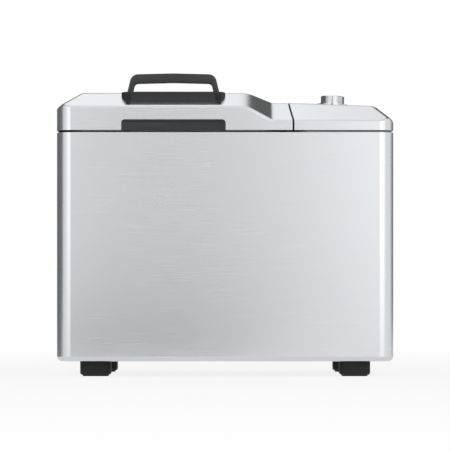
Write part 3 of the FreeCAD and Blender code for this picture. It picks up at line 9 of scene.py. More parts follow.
import bpy
from bpy.props import FloatProperty, IntProperty, PointerProperty, StringProperty
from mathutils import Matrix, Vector


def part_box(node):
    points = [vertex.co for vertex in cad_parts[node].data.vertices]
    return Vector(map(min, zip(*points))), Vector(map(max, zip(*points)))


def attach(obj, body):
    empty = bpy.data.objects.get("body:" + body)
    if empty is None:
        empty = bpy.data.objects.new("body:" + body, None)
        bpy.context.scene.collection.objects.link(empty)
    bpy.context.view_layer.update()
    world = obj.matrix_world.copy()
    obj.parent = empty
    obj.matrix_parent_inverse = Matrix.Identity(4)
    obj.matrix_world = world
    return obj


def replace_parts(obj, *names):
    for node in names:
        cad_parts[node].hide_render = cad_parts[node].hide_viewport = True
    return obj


bl_info = {
    "name": "Bread machine dressing",
    "version": (1, 0, 0),
    "blender": (4, 5, 0),
    "location": "View3D > Sidebar > Bread machine",
    "description": "Adds finishes, small pieces and a studio stage to the CAD bread machine",
    "category": "Object",
}

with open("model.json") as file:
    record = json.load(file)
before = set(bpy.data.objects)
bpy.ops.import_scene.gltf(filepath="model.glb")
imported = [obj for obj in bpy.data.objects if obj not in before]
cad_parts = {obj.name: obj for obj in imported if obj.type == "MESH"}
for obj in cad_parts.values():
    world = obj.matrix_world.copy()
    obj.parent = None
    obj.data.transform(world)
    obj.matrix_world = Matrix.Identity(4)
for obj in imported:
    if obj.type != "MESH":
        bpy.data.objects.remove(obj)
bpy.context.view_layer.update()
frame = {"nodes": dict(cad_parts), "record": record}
NODES = frame["nodes"]
MM = 0.001

# Materials by slot, filled by the first operator
FINISHES = {}

# The control panel leans a little to the right: the dial's joint gives its tilt and a point on its steel
DIAL = next(joint for joint in frame["record"]["behaviour"]["joints"] if joint["name"] == "dial_turn")
PANEL_POINT = Vector(DIAL["pos_m"])
PANEL_UP = Vector(DIAL["axis"]).normalized()
PANEL_TILT = math.atan2(PANEL_UP.x, PANEL_UP.z)

# Heights above that steel: the faces of the fascia, of a key and of the display's cell
FASCIA_TOP = 0.6 * MM
KEY_TOP = 2.4 * MM
CELL_TOP = -1.4 * MM


# Colours and nodes


def linear(code):
    """An sRGB hex colour as linear RGBA."""
    parts = [int(code[i:i + 2], 16) / 255 for i in (1, 3, 5)]
    return [c / 12.92 if c <= 0.04045 else ((c + 0.055) / 1.055) ** 2.4 for c in parts] + [1.0]


def per(mm):
    """The texture scale at which one pattern step is this many millimetres."""
    return 1 / (mm * MM)


def add(tree, kind, sockets=None, **settings):
    """Adds one node: settings are its own, and a socket takes a value or a (node, output) pair to link."""
    node = tree.nodes.new("ShaderNode" + kind)
    for key, value in settings.items():
        setattr(node, key, value)
    for key, value in (sockets or {}).items():
        if isinstance(value, tuple) and isinstance(value[0], bpy.types.Node):
            tree.links.new(value[0].outputs[value[1]], node.inputs[key])
        else:
            node.inputs[key].default_value = value
    return node


def begin(name, **sockets):
    """A new material with a plain shader: its tree, its shader and its Object coordinates."""
    finish = bpy.data.materials.new(name)
    finish.use_nodes = True
    tree = finish.node_tree
    shader = tree.nodes["Principled BSDF"]
    for key, value in sockets.items():
        shader.inputs[key.replace("_", " ")].default_value = value
    coords = (add(tree, "TexCoord"), "Object")
    return finish, tree, shader, coords


def paint(tree, shader, height, low, high, rough, bump, depth_mm):
    """Colour between two hex values, roughness and bump from one height pattern.

    A Mix node has sockets for each kind of data: 6 and 7 take its colours, with output 2, and 2 and 3 take
    its numbers.
    """
    tint = add(tree, "Mix", {0: height, 6: linear(low), 7: linear(high)}, data_type="RGBA")
    grip = add(tree, "MapRange", {"Value": height, "To Min": rough[0], "To Max": rough[1]})
    relief = add(tree, "Bump", {"Strength": bump, "Distance": depth_mm * MM, "Height": height})
    tree.links.new(tint.outputs[2], shader.inputs["Base Color"])
    tree.links.new(grip.outputs[0], shader.inputs["Roughness"])
    tree.links.new(relief.outputs[0], shader.inputs["Normal"])


# Finishes: metals


def brushed_stainless(colours):
    """Stainless sheet brushed with a belt: fine level lines and a soft, drawn-out shine.

    The lines are about 0.1 mm apart on the real sheet, too fine to show, so they are drawn 0.6 mm apart.
    """
    finish, tree, shader, coords = begin("brushed_stainless_sheet", Metallic=1.0, Anisotropic=0.5)
    stroke = per(45)
    apart = per(0.6)
    across = add(tree, "Mapping", {"Vector": coords, "Scale": (stroke, apart, apart)})
    along = add(tree, "Mapping", {"Vector": coords, "Scale": (apart, stroke, apart)})
    grain = {"Scale": 1.0, "Detail": 4.0, "Roughness": 0.62}
    front = add(tree, "TexNoise", {"Vector": (across, 0), **grain})
    ends = add(tree, "TexNoise", {"Vector": (along, 0), **grain})
    facing = add(tree, "SeparateXYZ", {0: (add(tree, "NewGeometry"), "Normal")})
    turned = add(tree, "Math", {0: (facing, "X")}, operation="ABSOLUTE")
    side = add(tree, "MapRange", {"Value": (turned, 0), "From Min": 0.5, "From Max": 0.85})
    lines = add(tree, "Mix", {0: (side, 0), 2: (front, 0), 3: (ends, 0)}, data_type="FLOAT")
    paint(tree, shader, (lines, 0), colours.steel_dark, colours.steel_light,
          rough=(0.24, 0.29), bump=0.04, depth_mm=0.02)
    return finish


def plain_metal(name, low, high, rough, grain_mm, bump=0.1, depth_mm=0.03):
    """Bare metal with the fine uneven grey of rolling, plating or casting."""
    finish, tree, shader, coords = begin(name, Metallic=1.0)
    grain = add(tree, "TexNoise", {"Vector": coords, "Scale": per(grain_mm), "Detail": 5.0, "Roughness": 0.6})
    paint(tree, shader, (grain, 0), low, high, rough, bump, depth_mm)
    return finish


def turned_metal(colours):
    """Turned and anodised aluminium: rings of tool marks round the dial's own axis."""
    finish, tree, shader, coords = begin("turned_aluminium", Metallic=1.0, Anisotropic=0.4)
    low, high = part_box("dial_knob")
    middle = (low + high) / 2
    centred = add(tree, "Mapping", {"Vector": coords, "Location": tuple(-middle)})
    parts = add(tree, "SeparateXYZ", {0: (centred, 0)})
    flat = add(tree, "CombineXYZ", {"X": (parts, "X"), "Y": (parts, "Y")})
    reach = add(tree, "VectorMath", {0: (flat, 0)}, operation="LENGTH")
    marks = {"W": (reach, "Value"), "Scale": per(0.6), "Detail": 3.0}
    rings = add(tree, "TexNoise", marks, noise_dimensions="1D")
    paint(tree, shader, (rings, 0), colours.dial_dark, colours.dial_light,
          rough=(0.1, 0.2), bump=0.15, depth_mm=0.02)
    return finish


# Finishes: plastics, rubber and coatings


def moulded(name, low, high, rough, grain_mm, bump=0.25, depth_mm=0.05, **sockets):
    """Moulded plastic, rubber or baked paint: an even spark grain under soft wear in the shine."""
    finish, tree, shader, coords = begin(name, **sockets)
    grain = add(tree, "TexNoise", {"Vector": coords, "Scale": per(grain_mm), "Detail": 2.0, "Roughness": 0.5})
    wear = add(tree, "TexNoise", {"Vector": coords, "Scale": per(38), "Detail": 3.0})
    both = add(tree, "Mix", {0: 0.45, 2: (grain, 0), 3: (wear, 0)}, data_type="FLOAT")
    paint(tree, shader, (both, 0), low, high, rough, bump, depth_mm)
    return finish


def speckled_coating(colours):
    """Baked non-stick coating: charcoal with pale flecks about 0.5 mm across and 1.7 mm apart."""
    finish, tree, shader, coords = begin("speckled_nonstick", Coat_Weight=0.2, Coat_Roughness=0.3)
    cells = add(tree, "TexVoronoi", {"Vector": coords, "Scale": per(1.7)})
    fade = {"From Min": 0.12, "From Max": 0.2, "To Min": 1.0, "To Max": 0.0}
    flecks = add(tree, "MapRange", {"Value": (cells, "Distance"), **fade})
    sheen = add(tree, "TexNoise", {"Vector": coords, "Scale": per(14), "Detail": 4.0})
    tint = add(tree, "Mix", {0: (flecks, 0), 6: linear(colours.pan_dark), 7: linear(colours.pan_fleck)},
               data_type="RGBA")
    grip = add(tree, "MapRange", {"Value": (sheen, 0), "To Min": 0.34, "To Max": 0.5})
    relief = add(tree, "Bump", {"Strength": 0.15, "Distance": 0.05 * MM, "Height": (cells, "Distance")})
    tree.links.new(tint.outputs[2], shader.inputs["Base Color"])
    tree.links.new(grip.outputs[0], shader.inputs["Roughness"])
    tree.links.new(relief.outputs[0], shader.inputs["Normal"])
    return finish


def circuit_board(colours):
    """Solder-masked laminate: green with lighter tracks that run in steps of 2.5 mm."""
    finish, tree, shader, coords = begin("green_circuit_board")
    mask = linear(colours.board)
    tracks = add(tree, "TexBrick", {
        "Vector": coords,
        "Scale": per(5),
        "Mortar Size": 0.06,
        "Brick Width": 1.4,
        "Row Height": 0.5,
        "Color1": mask,
        "Color2": mask,
        "Mortar": linear(colours.board_track),
    })
    haze = add(tree, "TexNoise", {"Vector": coords, "Scale": per(8), "Detail": 3.0})
    grip = add(tree, "MapRange", {"Value": (haze, 0), "To Min": 0.28, "To Max": 0.5})
    relief = add(tree, "Bump", {"Strength": 0.3, "Distance": 0.05 * MM, "Height": (tracks, "Fac")})
    tree.links.new(tracks.outputs["Color"], shader.inputs["Base Color"])
    tree.links.new(grip.outputs[0], shader.inputs["Roughness"])
    tree.links.new(relief.outputs[0], shader.inputs["Normal"])
    return finish


def pane(name, tint, clear, rough):
    """Float glass or clear acrylic: see-through, with a faint wiped haze in its shine."""
    finish, tree, shader, coords = begin(name, Base_Color=linear(tint), IOR=1.5, Transmission_Weight=clear)
    haze = add(tree, "TexNoise", {"Vector": coords, "Scale": per(24), "Detail": 3.0})
    grip = add(tree, "MapRange", {"Value": (haze, 0), "To Min": rough[0], "To Max": rough[1]})
    tree.links.new(grip.outputs[0], shader.inputs["Roughness"])
    return finish


def make_finishes():
    """One material for each of the record's slots, and four for pieces that differ from their slot."""
    colours = bpy.context.scene.bread_colours
    return {
        # Brushed stainless sheet: a broad pale shine that slides across level lines
        "steel_skin": brushed_stainless(colours),
        # Spark-grained ABS: soft black that greys a little where light grazes it
        "black_plastic": moulded("spark_grained_black_abs", colours.black, colours.black_worn,
                                 rough=(0.42, 0.58), grain_mm=0.9, IOR=1.53),
        # Satin nylon: the handle's dark grey, with a smooth highlight on its round
        "handle_black": moulded("satin_black_nylon", "#1f2023", "#2d2f33",
                                rough=(0.3, 0.42), grain_mm=1.1, bump=0.2, depth_mm=0.04, IOR=1.53),
        # Matt ABS: feet and pointers that stay black under the lamps
        "foot_black": moulded("matt_black_abs", "#08090a", "#0e0f11",
                              rough=(0.6, 0.75), grain_mm=1.2, IOR=1.48),
        # Grey moulded deck: partly the deck's own grey and partly painted light. It is made paler than its
        # own grey so the gap under the lid, which lies in shade, reads lighter.
        "deck_grey_and_gap_light": moulded("grey_deck_with_painted_gap_light", "#96989b", "#a3a5a8",
                             rough=(0.5, 0.62), grain_mm=1.2, IOR=1.53),
        # White screen print: flat ink, a little less than white
        "printed_white": moulded("white_screen_print", "#d6d8d9", "#e3e4e5",
                                 rough=(0.5, 0.6), grain_mm=0.8, bump=0.1, depth_mm=0.02),
        # Matt rubber: dark and dull, with no clear highlight
        "black_rubber": moulded("matt_black_rubber", "#0c0c0d", "#1a1a1b",
                                rough=(0.72, 0.88), grain_mm=1.1, IOR=1.52),
        # Moulded silicone: waxy grey with a blurred shine
        "grey_silicone": moulded("grey_silicone", "#6f7173", "#7c7e80",
                                 rough=(0.55, 0.7), grain_mm=1.4, IOR=1.43),
        # Zinc-plated steel: cool grey, slightly clouded
        "zinc_steel": plain_metal("zinc_plated_steel", "#9a9ea2", "#b9bcbf", rough=(0.3, 0.46), grain_mm=2.2),
        # Gloss fascia: near black under a clear lacquer that mirrors the room
        "fascia_black": moulded("gloss_black_fascia", "#08090a", "#0d0e10",
                                rough=(0.1, 0.2), grain_mm=0.7, bump=0.04, depth_mm=0.02,
                                IOR=1.5, Coat_Weight=0.4, Coat_Roughness=0.06),
        # Clear acrylic: a lens with a sharp reflection over the display
        "display_glass": pane("clear_acrylic_lens", "#e9eeee", clear=0.92, rough=(0.03, 0.09)),
        # Display cell: the grey-green ground of a liquid crystal display
        "display_grey": moulded("display_cell", "#8f9d92", "#9aa89c",
                                rough=(0.4, 0.5), grain_mm=0.5, bump=0.05, depth_mm=0.02),
        # Solder-masked laminate: green with paler tracks
        "board_green": circuit_board(colours),
        # Turned aluminium: fine rings that fan the light on the dial's top
        "dial_metal": turned_metal(colours),
        # Drawn aluminium: pale and soft, with the faint flow of the draw
        "oven_aluminium": plain_metal("drawn_aluminium", "#b6b8ba", "#d2d3d4",
                                      rough=(0.34, 0.5), grain_mm=5.0),
        # Heated sheath: dark brown-grey scale on steel
        "heater_sheath": plain_metal("scaled_heater_sheath", "#45413e", "#6a6460",
                                     rough=(0.5, 0.68), grain_mm=3.0, bump=0.3),
        # Sintered brass: dull gold with open pores
        "bush_brass": plain_metal("sintered_brass", "#9c7a3c", "#c29c56",
                                  rough=(0.4, 0.55), grain_mm=0.8, bump=0.3),
        # Baked enamel: dark grey paint with a slight orange peel
        "motor_paint": moulded("motor_enamel", "#2b2d30", "#3a3c40", rough=(0.38, 0.52), grain_mm=2.0),
        # Baked non-stick coating: charcoal with pale flecks
        "pan_coating": speckled_coating(colours),
        # Moulded acetal: milky white with a soapy shine
        "pulley_plastic": moulded("white_acetal", "#d8d6cf", "#e4e2dc",
                                  rough=(0.35, 0.48), grain_mm=1.2, IOR=1.48),
        # Toughened glass: clear with a faint green
        "clear_glass": pane("toughened_glass", "#dfe7e4", clear=1.0, rough=(0.0, 0.04)),
        # Silver paint on plastic: a grey glint without a mirror
        "key_silver": moulded("silver_painted_key", colours.key_dark, colours.key_light,
                              rough=(0.3, 0.42), grain_mm=0.6, bump=0.12, depth_mm=0.02, Metallic=0.7),
    }


# Modelling by hand: picking, closing, copying and handing over


def bare():
    """Leaves nothing picked."""
    if bpy.context.mode != "OBJECT":
        bpy.ops.object.mode_set(mode="OBJECT")
    bpy.ops.object.select_all(action="DESELECT")


def pick(*pieces):
    """Makes these the only picked objects, the first one active."""
    bare()
    for piece in pieces:
        piece.select_set(True)
    bpy.context.view_layer.objects.active = pieces[0]


def choose(piece, kind, test):
    """Opens a piece in edit mode with only the faces, edges or points picked that pass a test."""
    pick(piece)
    bpy.ops.object.mode_set(mode="EDIT")
    bpy.ops.mesh.select_mode(type=kind)
    bpy.ops.mesh.select_all(action="DESELECT")
    bpy.ops.object.mode_set(mode="OBJECT")
    mesh = piece.data
    for item in {"FACE": mesh.polygons, "EDGE": mesh.edges, "VERT": mesh.vertices}[kind]:
        item.select = test(item)
    bpy.ops.object.mode_set(mode="EDIT")


def close():
    """Leaves edit mode."""
    bpy.ops.object.mode_set(mode="OBJECT")


def runs_along(piece, axis):
    """A test for edges that run along one axis of a piece."""
    points = piece.data.vertices

    def test(edge):
        way = points[edge.vertices[1]].co - points[edge.vertices[0]].co
        return abs(way[axis]) > 0.98 * way.length

    return test


def thicken(piece, thick):
    """Pulls a flat piece up into a plate."""
    choose(piece, "FACE", lambda face: True)
    bpy.ops.mesh.extrude_region_move(TRANSFORM_OT_translate={"value": (0, 0, thick)})
    close()
    return piece


def tile(wide, deep, place=(0, 0)):
    """A flat rectangle."""
    bare()
    bpy.ops.mesh.primitive_plane_add(size=1, location=(*place, 0))
    piece = bpy.context.object
    piece.scale = (wide, deep, 1)
    bpy.ops.object.transform_apply(location=True, rotation=False, scale=True)
    return piece


def disc(sides, radius, turn=0.0):
    """A flat regular shape, with one corner along +Y before it is turned."""
    bare()
    bpy.ops.mesh.primitive_circle_add(vertices=sides, radius=radius, fill_type="NGON", rotation=(0, 0, turn))
    bpy.ops.object.transform_apply(location=False, rotation=True, scale=False)
    return bpy.context.object


def twin(piece, place, turn=0.0):
    """A copy with its own mesh, turned about Z and moved."""
    other = piece.copy()
    other.data = piece.data.copy()
    other.location = place
    other.rotation_euler = (0, 0, turn)
    bpy.context.scene.collection.objects.link(other)
    return other


def join(pieces):
    """Several pieces as one object, with their places in the mesh."""
    pick(*pieces)
    bpy.ops.object.transform_apply(location=True, rotation=True, scale=True)
    if len(pieces) > 1:
        bpy.ops.object.join()
    return bpy.context.object


def copy_of(node):
    """A merged copy of a CAD node, with its flat faces made whole."""
    piece = bpy.data.objects.new(node + "_copy", NODES[node].data.copy())
    bpy.context.scene.collection.objects.link(piece)
    choose(piece, "FACE", lambda face: True)
    bpy.ops.mesh.remove_doubles(threshold=0.01 * MM)
    bpy.ops.mesh.dissolve_limited(angle_limit=math.radians(1))
    close()
    return piece


def soften(piece, width, steps, angle=30):
    """Rounds every edge that is sharper than an angle."""
    pick(piece)
    bevel = piece.modifiers.new("soft_edge", "BEVEL")
    bevel.width = width
    bevel.segments = steps
    bevel.limit_method = "ANGLE"
    bevel.angle_limit = math.radians(angle)
    bpy.ops.object.modifier_apply(modifier=bevel.name)


def lay_on_panel(piece, x, y, rise):
    """Tilts a piece with the control panel and sets it at a height above the panel's steel."""
    level = PANEL_POINT.z - (x - PANEL_POINT.x) * math.tan(PANEL_TILT)
    piece.rotation_euler = (0, PANEL_TILT, 0)
    piece.location = Vector((x, y, level)) + PANEL_UP * rise


def settle(piece, name, body, slot, finish=""):
    """Puts a piece's place in its mesh, mends its faces, gives it a finish and hands it to a body."""
    pick(piece)
    piece.name = piece.data.name = name
    bpy.ops.object.transform_apply(location=True, rotation=True, scale=True)
    choose(piece, "FACE", lambda face: True)
    bpy.ops.mesh.remove_doubles(threshold=0.001 * MM)
    bpy.ops.mesh.normals_make_consistent(inside=False)
    close()
    bpy.ops.object.shade_smooth_by_angle(angle=math.radians(38))
    piece.data.materials.clear()
    piece.data.materials.append(FINISHES[finish or slot])
    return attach(piece, body)


# Sizes and colours that a user would change


class BreadColours(bpy.types.PropertyGroup):
    """Colours of the visible finishes, as sRGB hex."""

    steel_dark: StringProperty(name="Steel, dark line", description="Darker brush line", default="#d0d2d6")
    steel_light: StringProperty(name="Steel, light line", description="Lighter brush line", default="#dadce0")
    black: StringProperty(name="Black plastic", description="Ground of the moulded parts", default="#141518")
    black_worn: StringProperty(name="Black plastic, worn", description="Paler grain", default="#212328")
    dial_dark: StringProperty(name="Dial, dark ring", description="Darker tool mark", default="#a0a2a5")
    dial_light: StringProperty(name="Dial, light ring", description="Lighter tool mark", default="#d9dbdc")
    key_dark: StringProperty(name="Key, dark", description="Darker key paint", default="#a4a7aa")
    key_light: StringProperty(name="Key, light", description="Lighter key paint", default="#bec1c3")
    pan_dark: StringProperty(name="Pan coating", description="Ground of the coating", default="#2c2d2f")
    pan_fleck: StringProperty(name="Pan fleck", description="Fleck in the coating", default="#7c7d7e")
    board: StringProperty(name="Board", description="Solder mask", default="#1d4a2c")
    board_track: StringProperty(name="Board track", description="Copper under the mask", default="#3c7248")


class BreadSizes(bpy.types.PropertyGroup):
    """Sizes of the small pieces and the camera's place."""

    handle_round: FloatProperty(
        name="Handle edge", description="Rounding of the lid handle", default=2.4 * MM, unit="LENGTH")
    bead: FloatProperty(
        name="Tray bead", description="Radius of the bead on the tray", default=0.9 * MM, unit="LENGTH")
    bead_drop: FloatProperty(
        name="Bead drop", description="Bead below the tray's rim", default=3.0 * MM, unit="LENGTH")
    guide: FloatProperty(
        name="Leg guide", description="Width of a leg guide", default=7.4 * MM, unit="LENGTH")
    groove: FloatProperty(
        name="Groove", description="Depth of the pull strip's groove", default=0.3 * MM, unit="LENGTH")
    groove_rim: FloatProperty(
        name="Groove rim", description="Border round the groove", default=2.0 * MM, unit="LENGTH")
    flutes: IntProperty(
        name="Flutes", description="Flutes round the dial", default=48, min=8)
    flute: FloatProperty(
        name="Flute", description="Depth of a flute", default=0.12 * MM, unit="LENGTH")
    ticks: IntProperty(
        name="Ticks", description="Ticks round the dial", default=13, min=2)
    digit: FloatProperty(
        name="Digit", description="Height of a digit", default=17 * MM, unit="LENGTH")
    mark: FloatProperty(
        name="Key mark", description="Size of a key's sign", default=4.4 * MM, unit="LENGTH")
    print_thick: FloatProperty(
        name="Print", description="Thickness of printed marks", default=0.06 * MM, unit="LENGTH")
    camera_gap: FloatProperty(
        name="Camera distance", description="From the case front", default=2.8, unit="LENGTH")
    camera_height: FloatProperty(
        name="Camera height", description="Above the floor", default=0.0944, unit="LENGTH")
    camera_lens: FloatProperty(
        name="Lens", description="Focal length in mm", default=182.2)
    camera_rise: FloatProperty(
        name="Vertical shift", description="Lens shift that keeps uprights parallel", default=0.1667)


# Operators


class BREAD_OT_stage(bpy.types.Operator):
    """Lays the pale floor, sets the lamps, cards and white surround, and aims the camera"""

    bl_idname = "bread.stage"
    bl_label = "Stage"

    def execute(self, context):
        self.floor()
        self.surround(context)
        self.cards()
        self.lamps()
        self.camera(context)
        context.scene.view_settings.view_transform = "Standard"
        return {"FINISHED"}

    def floor(self):
        """A wide floor that looks almost white, and wholly so farther off, but still takes the shadow."""
        wide = 60
        near, far = 0.3, 1.6
        near_glow = 0.86
        bare()
        bpy.ops.mesh.primitive_plane_add(size=wide)
        floor = bpy.context.object
        floor.name = "floor"
        pale = bpy.data.materials.new("pale_floor")
        pale.use_nodes = True
        tree = pale.node_tree
        tree.nodes.clear()
        white = self.seen(tree)
        soft = add(tree, "BsdfDiffuse", {"Color": linear("#f2f2f2")})
        glow = add(tree, "Emission", {"Color": (1, 1, 1, 1), "Strength": 1.0})
        place = add(tree, "VectorMath", {0: (add(tree, "TexCoord"), "Object")}, operation="LENGTH")
        fade = {"From Min": near, "From Max": far, "To Min": near_glow, "To Max": 1.0}
        reach = add(tree, "MapRange", {"Value": (place, "Value"), **fade})
        share = add(tree, "Math", {0: (white, 0), 1: (reach, 0)}, operation="MULTIPLY")
        both = add(tree, "MixShader", {0: (share, 0), 1: (soft, 0), 2: (glow, 0)})
        add(tree, "OutputMaterial", {"Surface": (both, 0)})
        floor.data.materials.append(pale)

    def seen(self, tree):
        """One for what the camera sees directly, in a reflection or through glass, and nought elsewhere."""
        path = add(tree, "LightPath")
        direct = {0: (path, "Is Camera Ray"), 1: (path, "Is Glossy Ray")}
        mirror = add(tree, "Math", direct, operation="MAXIMUM")
        return add(tree, "Math", {0: (mirror, 0), 1: (path, "Is Transmission Ray")}, operation="MAXIMUM")

    def surround(self, context):
        """A white surround to look at, and a plain grey fill to light by."""
        world = bpy.data.worlds.new("studio")
        world.use_nodes = True
        tree = world.node_tree
        tree.nodes.clear()
        fill = add(tree, "Background", {"Color": linear("#d9dadb"), "Strength": 0.75})
        white = add(tree, "Background", {"Color": (1, 1, 1, 1), "Strength": 1.0})
        both = add(tree, "MixShader", {0: (self.seen(tree), 0), 1: (fill, 0), 2: (white, 0)})
        add(tree, "OutputWorld", {"Surface": (both, 0)})
        context.scene.world = world

    def cards(self):
        """Cards that give the steel its dark edges, the soft dip left of the middle and the grey hips."""
        quarter = math.radians(90)
        flat = (0, 0, 0)
        facing = (quarter, 0, 0)
        on_left = (quarter, 0, quarter)
        on_right = (quarter, 0, -quarter)
        lift = 2 * MM
        self.card("left_card", place=(-1.9, 3.3, 2.5), turn=on_left, span=(8.2, 5.0), shade=0.18)
        self.card("left_floor_card", place=(-1.12, 2.3, lift), turn=flat, span=(1.5, 5.0), shade=0.3)
        self.card("right_card", place=(1.9, 4.3, 2.5), turn=on_right, span=(7.5, 5.0), shade=0.25)
        self.card("front_card", place=(-0.16, -3.6, 1.0), turn=facing, span=(0.4, 2.4), shade=0.0)
        self.card("front_floor_card", place=(-0.14, -2.05, lift), turn=flat, span=(0.36, 3.1), shade=0.15)
        self.card("rear_card", place=(0.15, 3.2, 2.2), turn=facing, span=(0.8, 2.4), shade=0.75)
        self.card("rear_left_card", place=(-1.63, 3.2, 1.8), turn=facing, span=(2.76, 3.6), shade=0.02)
        self.card("rear_right_card", place=(1.75, 3.2, 1.8), turn=facing, span=(2.4, 3.6), shade=0.04)
        self.card("ramp_card", place=(1.5, 1.3, 2.45), turn=flat, span=(1.7, 2.8), shade=0.08)

    def card(self, name, place, turn, span, shade):
        """A grey card that only reflections see, to shape the steel."""
        bare()
        bpy.ops.mesh.primitive_plane_add(size=1, location=place, rotation=turn)
        board = bpy.context.object
        board.name = name
        board.scale = (*span, 1)
        board.visible_camera = False
        board.visible_diffuse = False
        board.visible_shadow = False
        board.visible_transmission = False
        grey = bpy.data.materials.new(name)
        grey.use_nodes = True
        tree = grey.node_tree
        tree.nodes.clear()
        flat = add(tree, "Emission", {"Color": (shade, shade, shade, 1)})
        add(tree, "OutputMaterial", {"Surface": (flat, 0)})
        board.data.materials.append(grey)

    def lamps(self):
        """Two soft boxes in front, the right one stronger, and one above."""
        self.lamp("right_softbox", place=(1.5, -3.2, 0.9), span=(2.4, 2.0), power=12)
        self.lamp("left_softbox", place=(-1.25, -3.0, 1.0), span=(1.4, 2.0), power=5.5)
        self.lamp("top_softbox", place=(-0.3, 0.4, 2.4), span=(1.6, 2.2), power=3)

    def lamp(self, name, place, span, power):
        """A soft box aimed at the middle of the machine."""
        middle = Vector((0, 0, 0.2))
        turn = (middle - Vector(place)).to_track_quat("-Z", "Y").to_euler()
        bpy.ops.object.light_add(type="AREA", location=place, rotation=turn)
        box = bpy.context.object
        box.name = name
        box.data.shape = "RECTANGLE"
        box.data.size, box.data.size_y = span
        box.data.energy = power
        box.visible_camera = False

    def camera(self, context):
        """A long lens straight at the front, shifted up so that the uprights stay parallel."""
        sizes = context.scene.bread_sizes
        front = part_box("case_wrap")[0].y
        aside = -0.2 * MM
        place = (aside, front - sizes.camera_gap, sizes.camera_height)
        bpy.ops.object.camera_add(location=place, rotation=(math.radians(90), 0, 0))
        camera = context.object
        camera.data.lens = sizes.camera_lens
        camera.data.sensor_width = 36
        camera.data.shift_y = sizes.camera_rise
        context.scene.camera = camera


class BREAD_OT_finishes(bpy.types.Operator):
    """Gives every CAD node the finish of its slot"""

    bl_idname = "bread.finishes"
    bl_label = "Finishes"

    def execute(self, context):
        FINISHES.update(make_finishes())
        # The deck's finish is paler than its own grey: painted light for the shaded gap under the lid
        own = {"feet": "foot_black", "top_deck": "deck_grey_and_gap_light"}
        for part in frame["record"]["subparts"]:
            mesh = NODES[part["node"]].data
            mesh.materials.clear()
            mesh.materials.append(FINISHES[own.get(part["node"], part["material_slot"])])
        return {"FINISHED"}


class BREAD_OT_handle(bpy.types.Operator):
    """Softens the lid handle, and adds the bead and the two leg guides on its tray"""

    bl_idname = "bread.handle"
    bl_label = "Lid handle"

    def execute(self, context):
        sizes = context.scene.bread_sizes
        bail = copy_of("handle_bail")
        soften(bail, sizes.handle_round, steps=3)
        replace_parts(settle(bail, "soft_handle", "handle", "black_plastic", "handle_black"), "handle_bail")
        low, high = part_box("handle_tray")
        legs = [corner.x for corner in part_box("handle_bail")]
        middle = (low + high) / 2
        sunk = sizes.bead * 0.4
        self.bead(sizes, legs, (middle.x, low.y + sunk, high.z - sizes.bead_drop))
        self.guides(sizes, legs, low.y, middle.z, high.z - low.z)
        return {"FINISHED"}

    def bead(self, sizes, legs, place):
        """A thin round bead along the front of the tray, with raised ends."""
        bare()
        bpy.ops.mesh.primitive_cylinder_add(vertices=20, radius=sizes.bead, depth=legs[1] - legs[0],
                                            location=place, rotation=(0, math.pi / 2, 0))
        bead = bpy.context.object
        step_in = sizes.bead * 0.4
        step_out = sizes.bead * 0.3
        choose(bead, "FACE", lambda face: abs(face.normal.z) > 0.9)
        bpy.ops.mesh.inset(thickness=step_in, depth=step_out)
        close()
        settle(bead, "tray_bead", "lid", "black_plastic")

    def guides(self, sizes, legs, front, level, tall):
        """A rounded block in front of each leg, modelled once and copied."""
        thick = 1.6 * MM
        sunk = 0.2 * MM
        raised = 0.6 * MM
        shorter = 3.4 * MM
        corner = 1.2 * MM
        edge = 0.35 * MM
        bare()
        bpy.ops.mesh.primitive_cube_add(size=1)
        guide = bpy.context.object
        guide.scale = (sizes.guide, thick, tall - shorter)
        bpy.ops.object.transform_apply(location=False, rotation=False, scale=True)
        choose(guide, "EDGE", runs_along(guide, 1))
        bpy.ops.mesh.bevel(offset=corner, segments=4)
        close()
        soften(guide, edge, steps=2, angle=50)
        guide.location = (legs[0] + sizes.guide / 2, front + sunk, level + raised)
        other = twin(guide, (legs[1] - sizes.guide / 2, front + sunk, level + raised))
        both = join([guide, other])
        settle(both, "handle_leg_guides", "lid", "black_plastic", "foot_black")


class BREAD_OT_pull_strip(bpy.types.Operator):
    """Moulds the pull strip on the lid's front with a shallow groove for the fingers"""

    bl_idname = "bread.pull_strip"
    bl_label = "Pull strip"

    def execute(self, context):
        sizes = context.scene.bread_sizes
        large = 500 * MM * MM
        strip = copy_of("lid_grip")
        choose(strip, "FACE", lambda face: face.normal.y < -0.99 and face.area > large)
        bpy.ops.mesh.inset(thickness=sizes.groove_rim, depth=0)
        bpy.ops.mesh.inset(thickness=sizes.groove, depth=-sizes.groove)
        close()
        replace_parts(settle(strip, "grooved_pull_strip", "lid", "black_plastic"), "lid_grip")
        return {"FINISHED"}


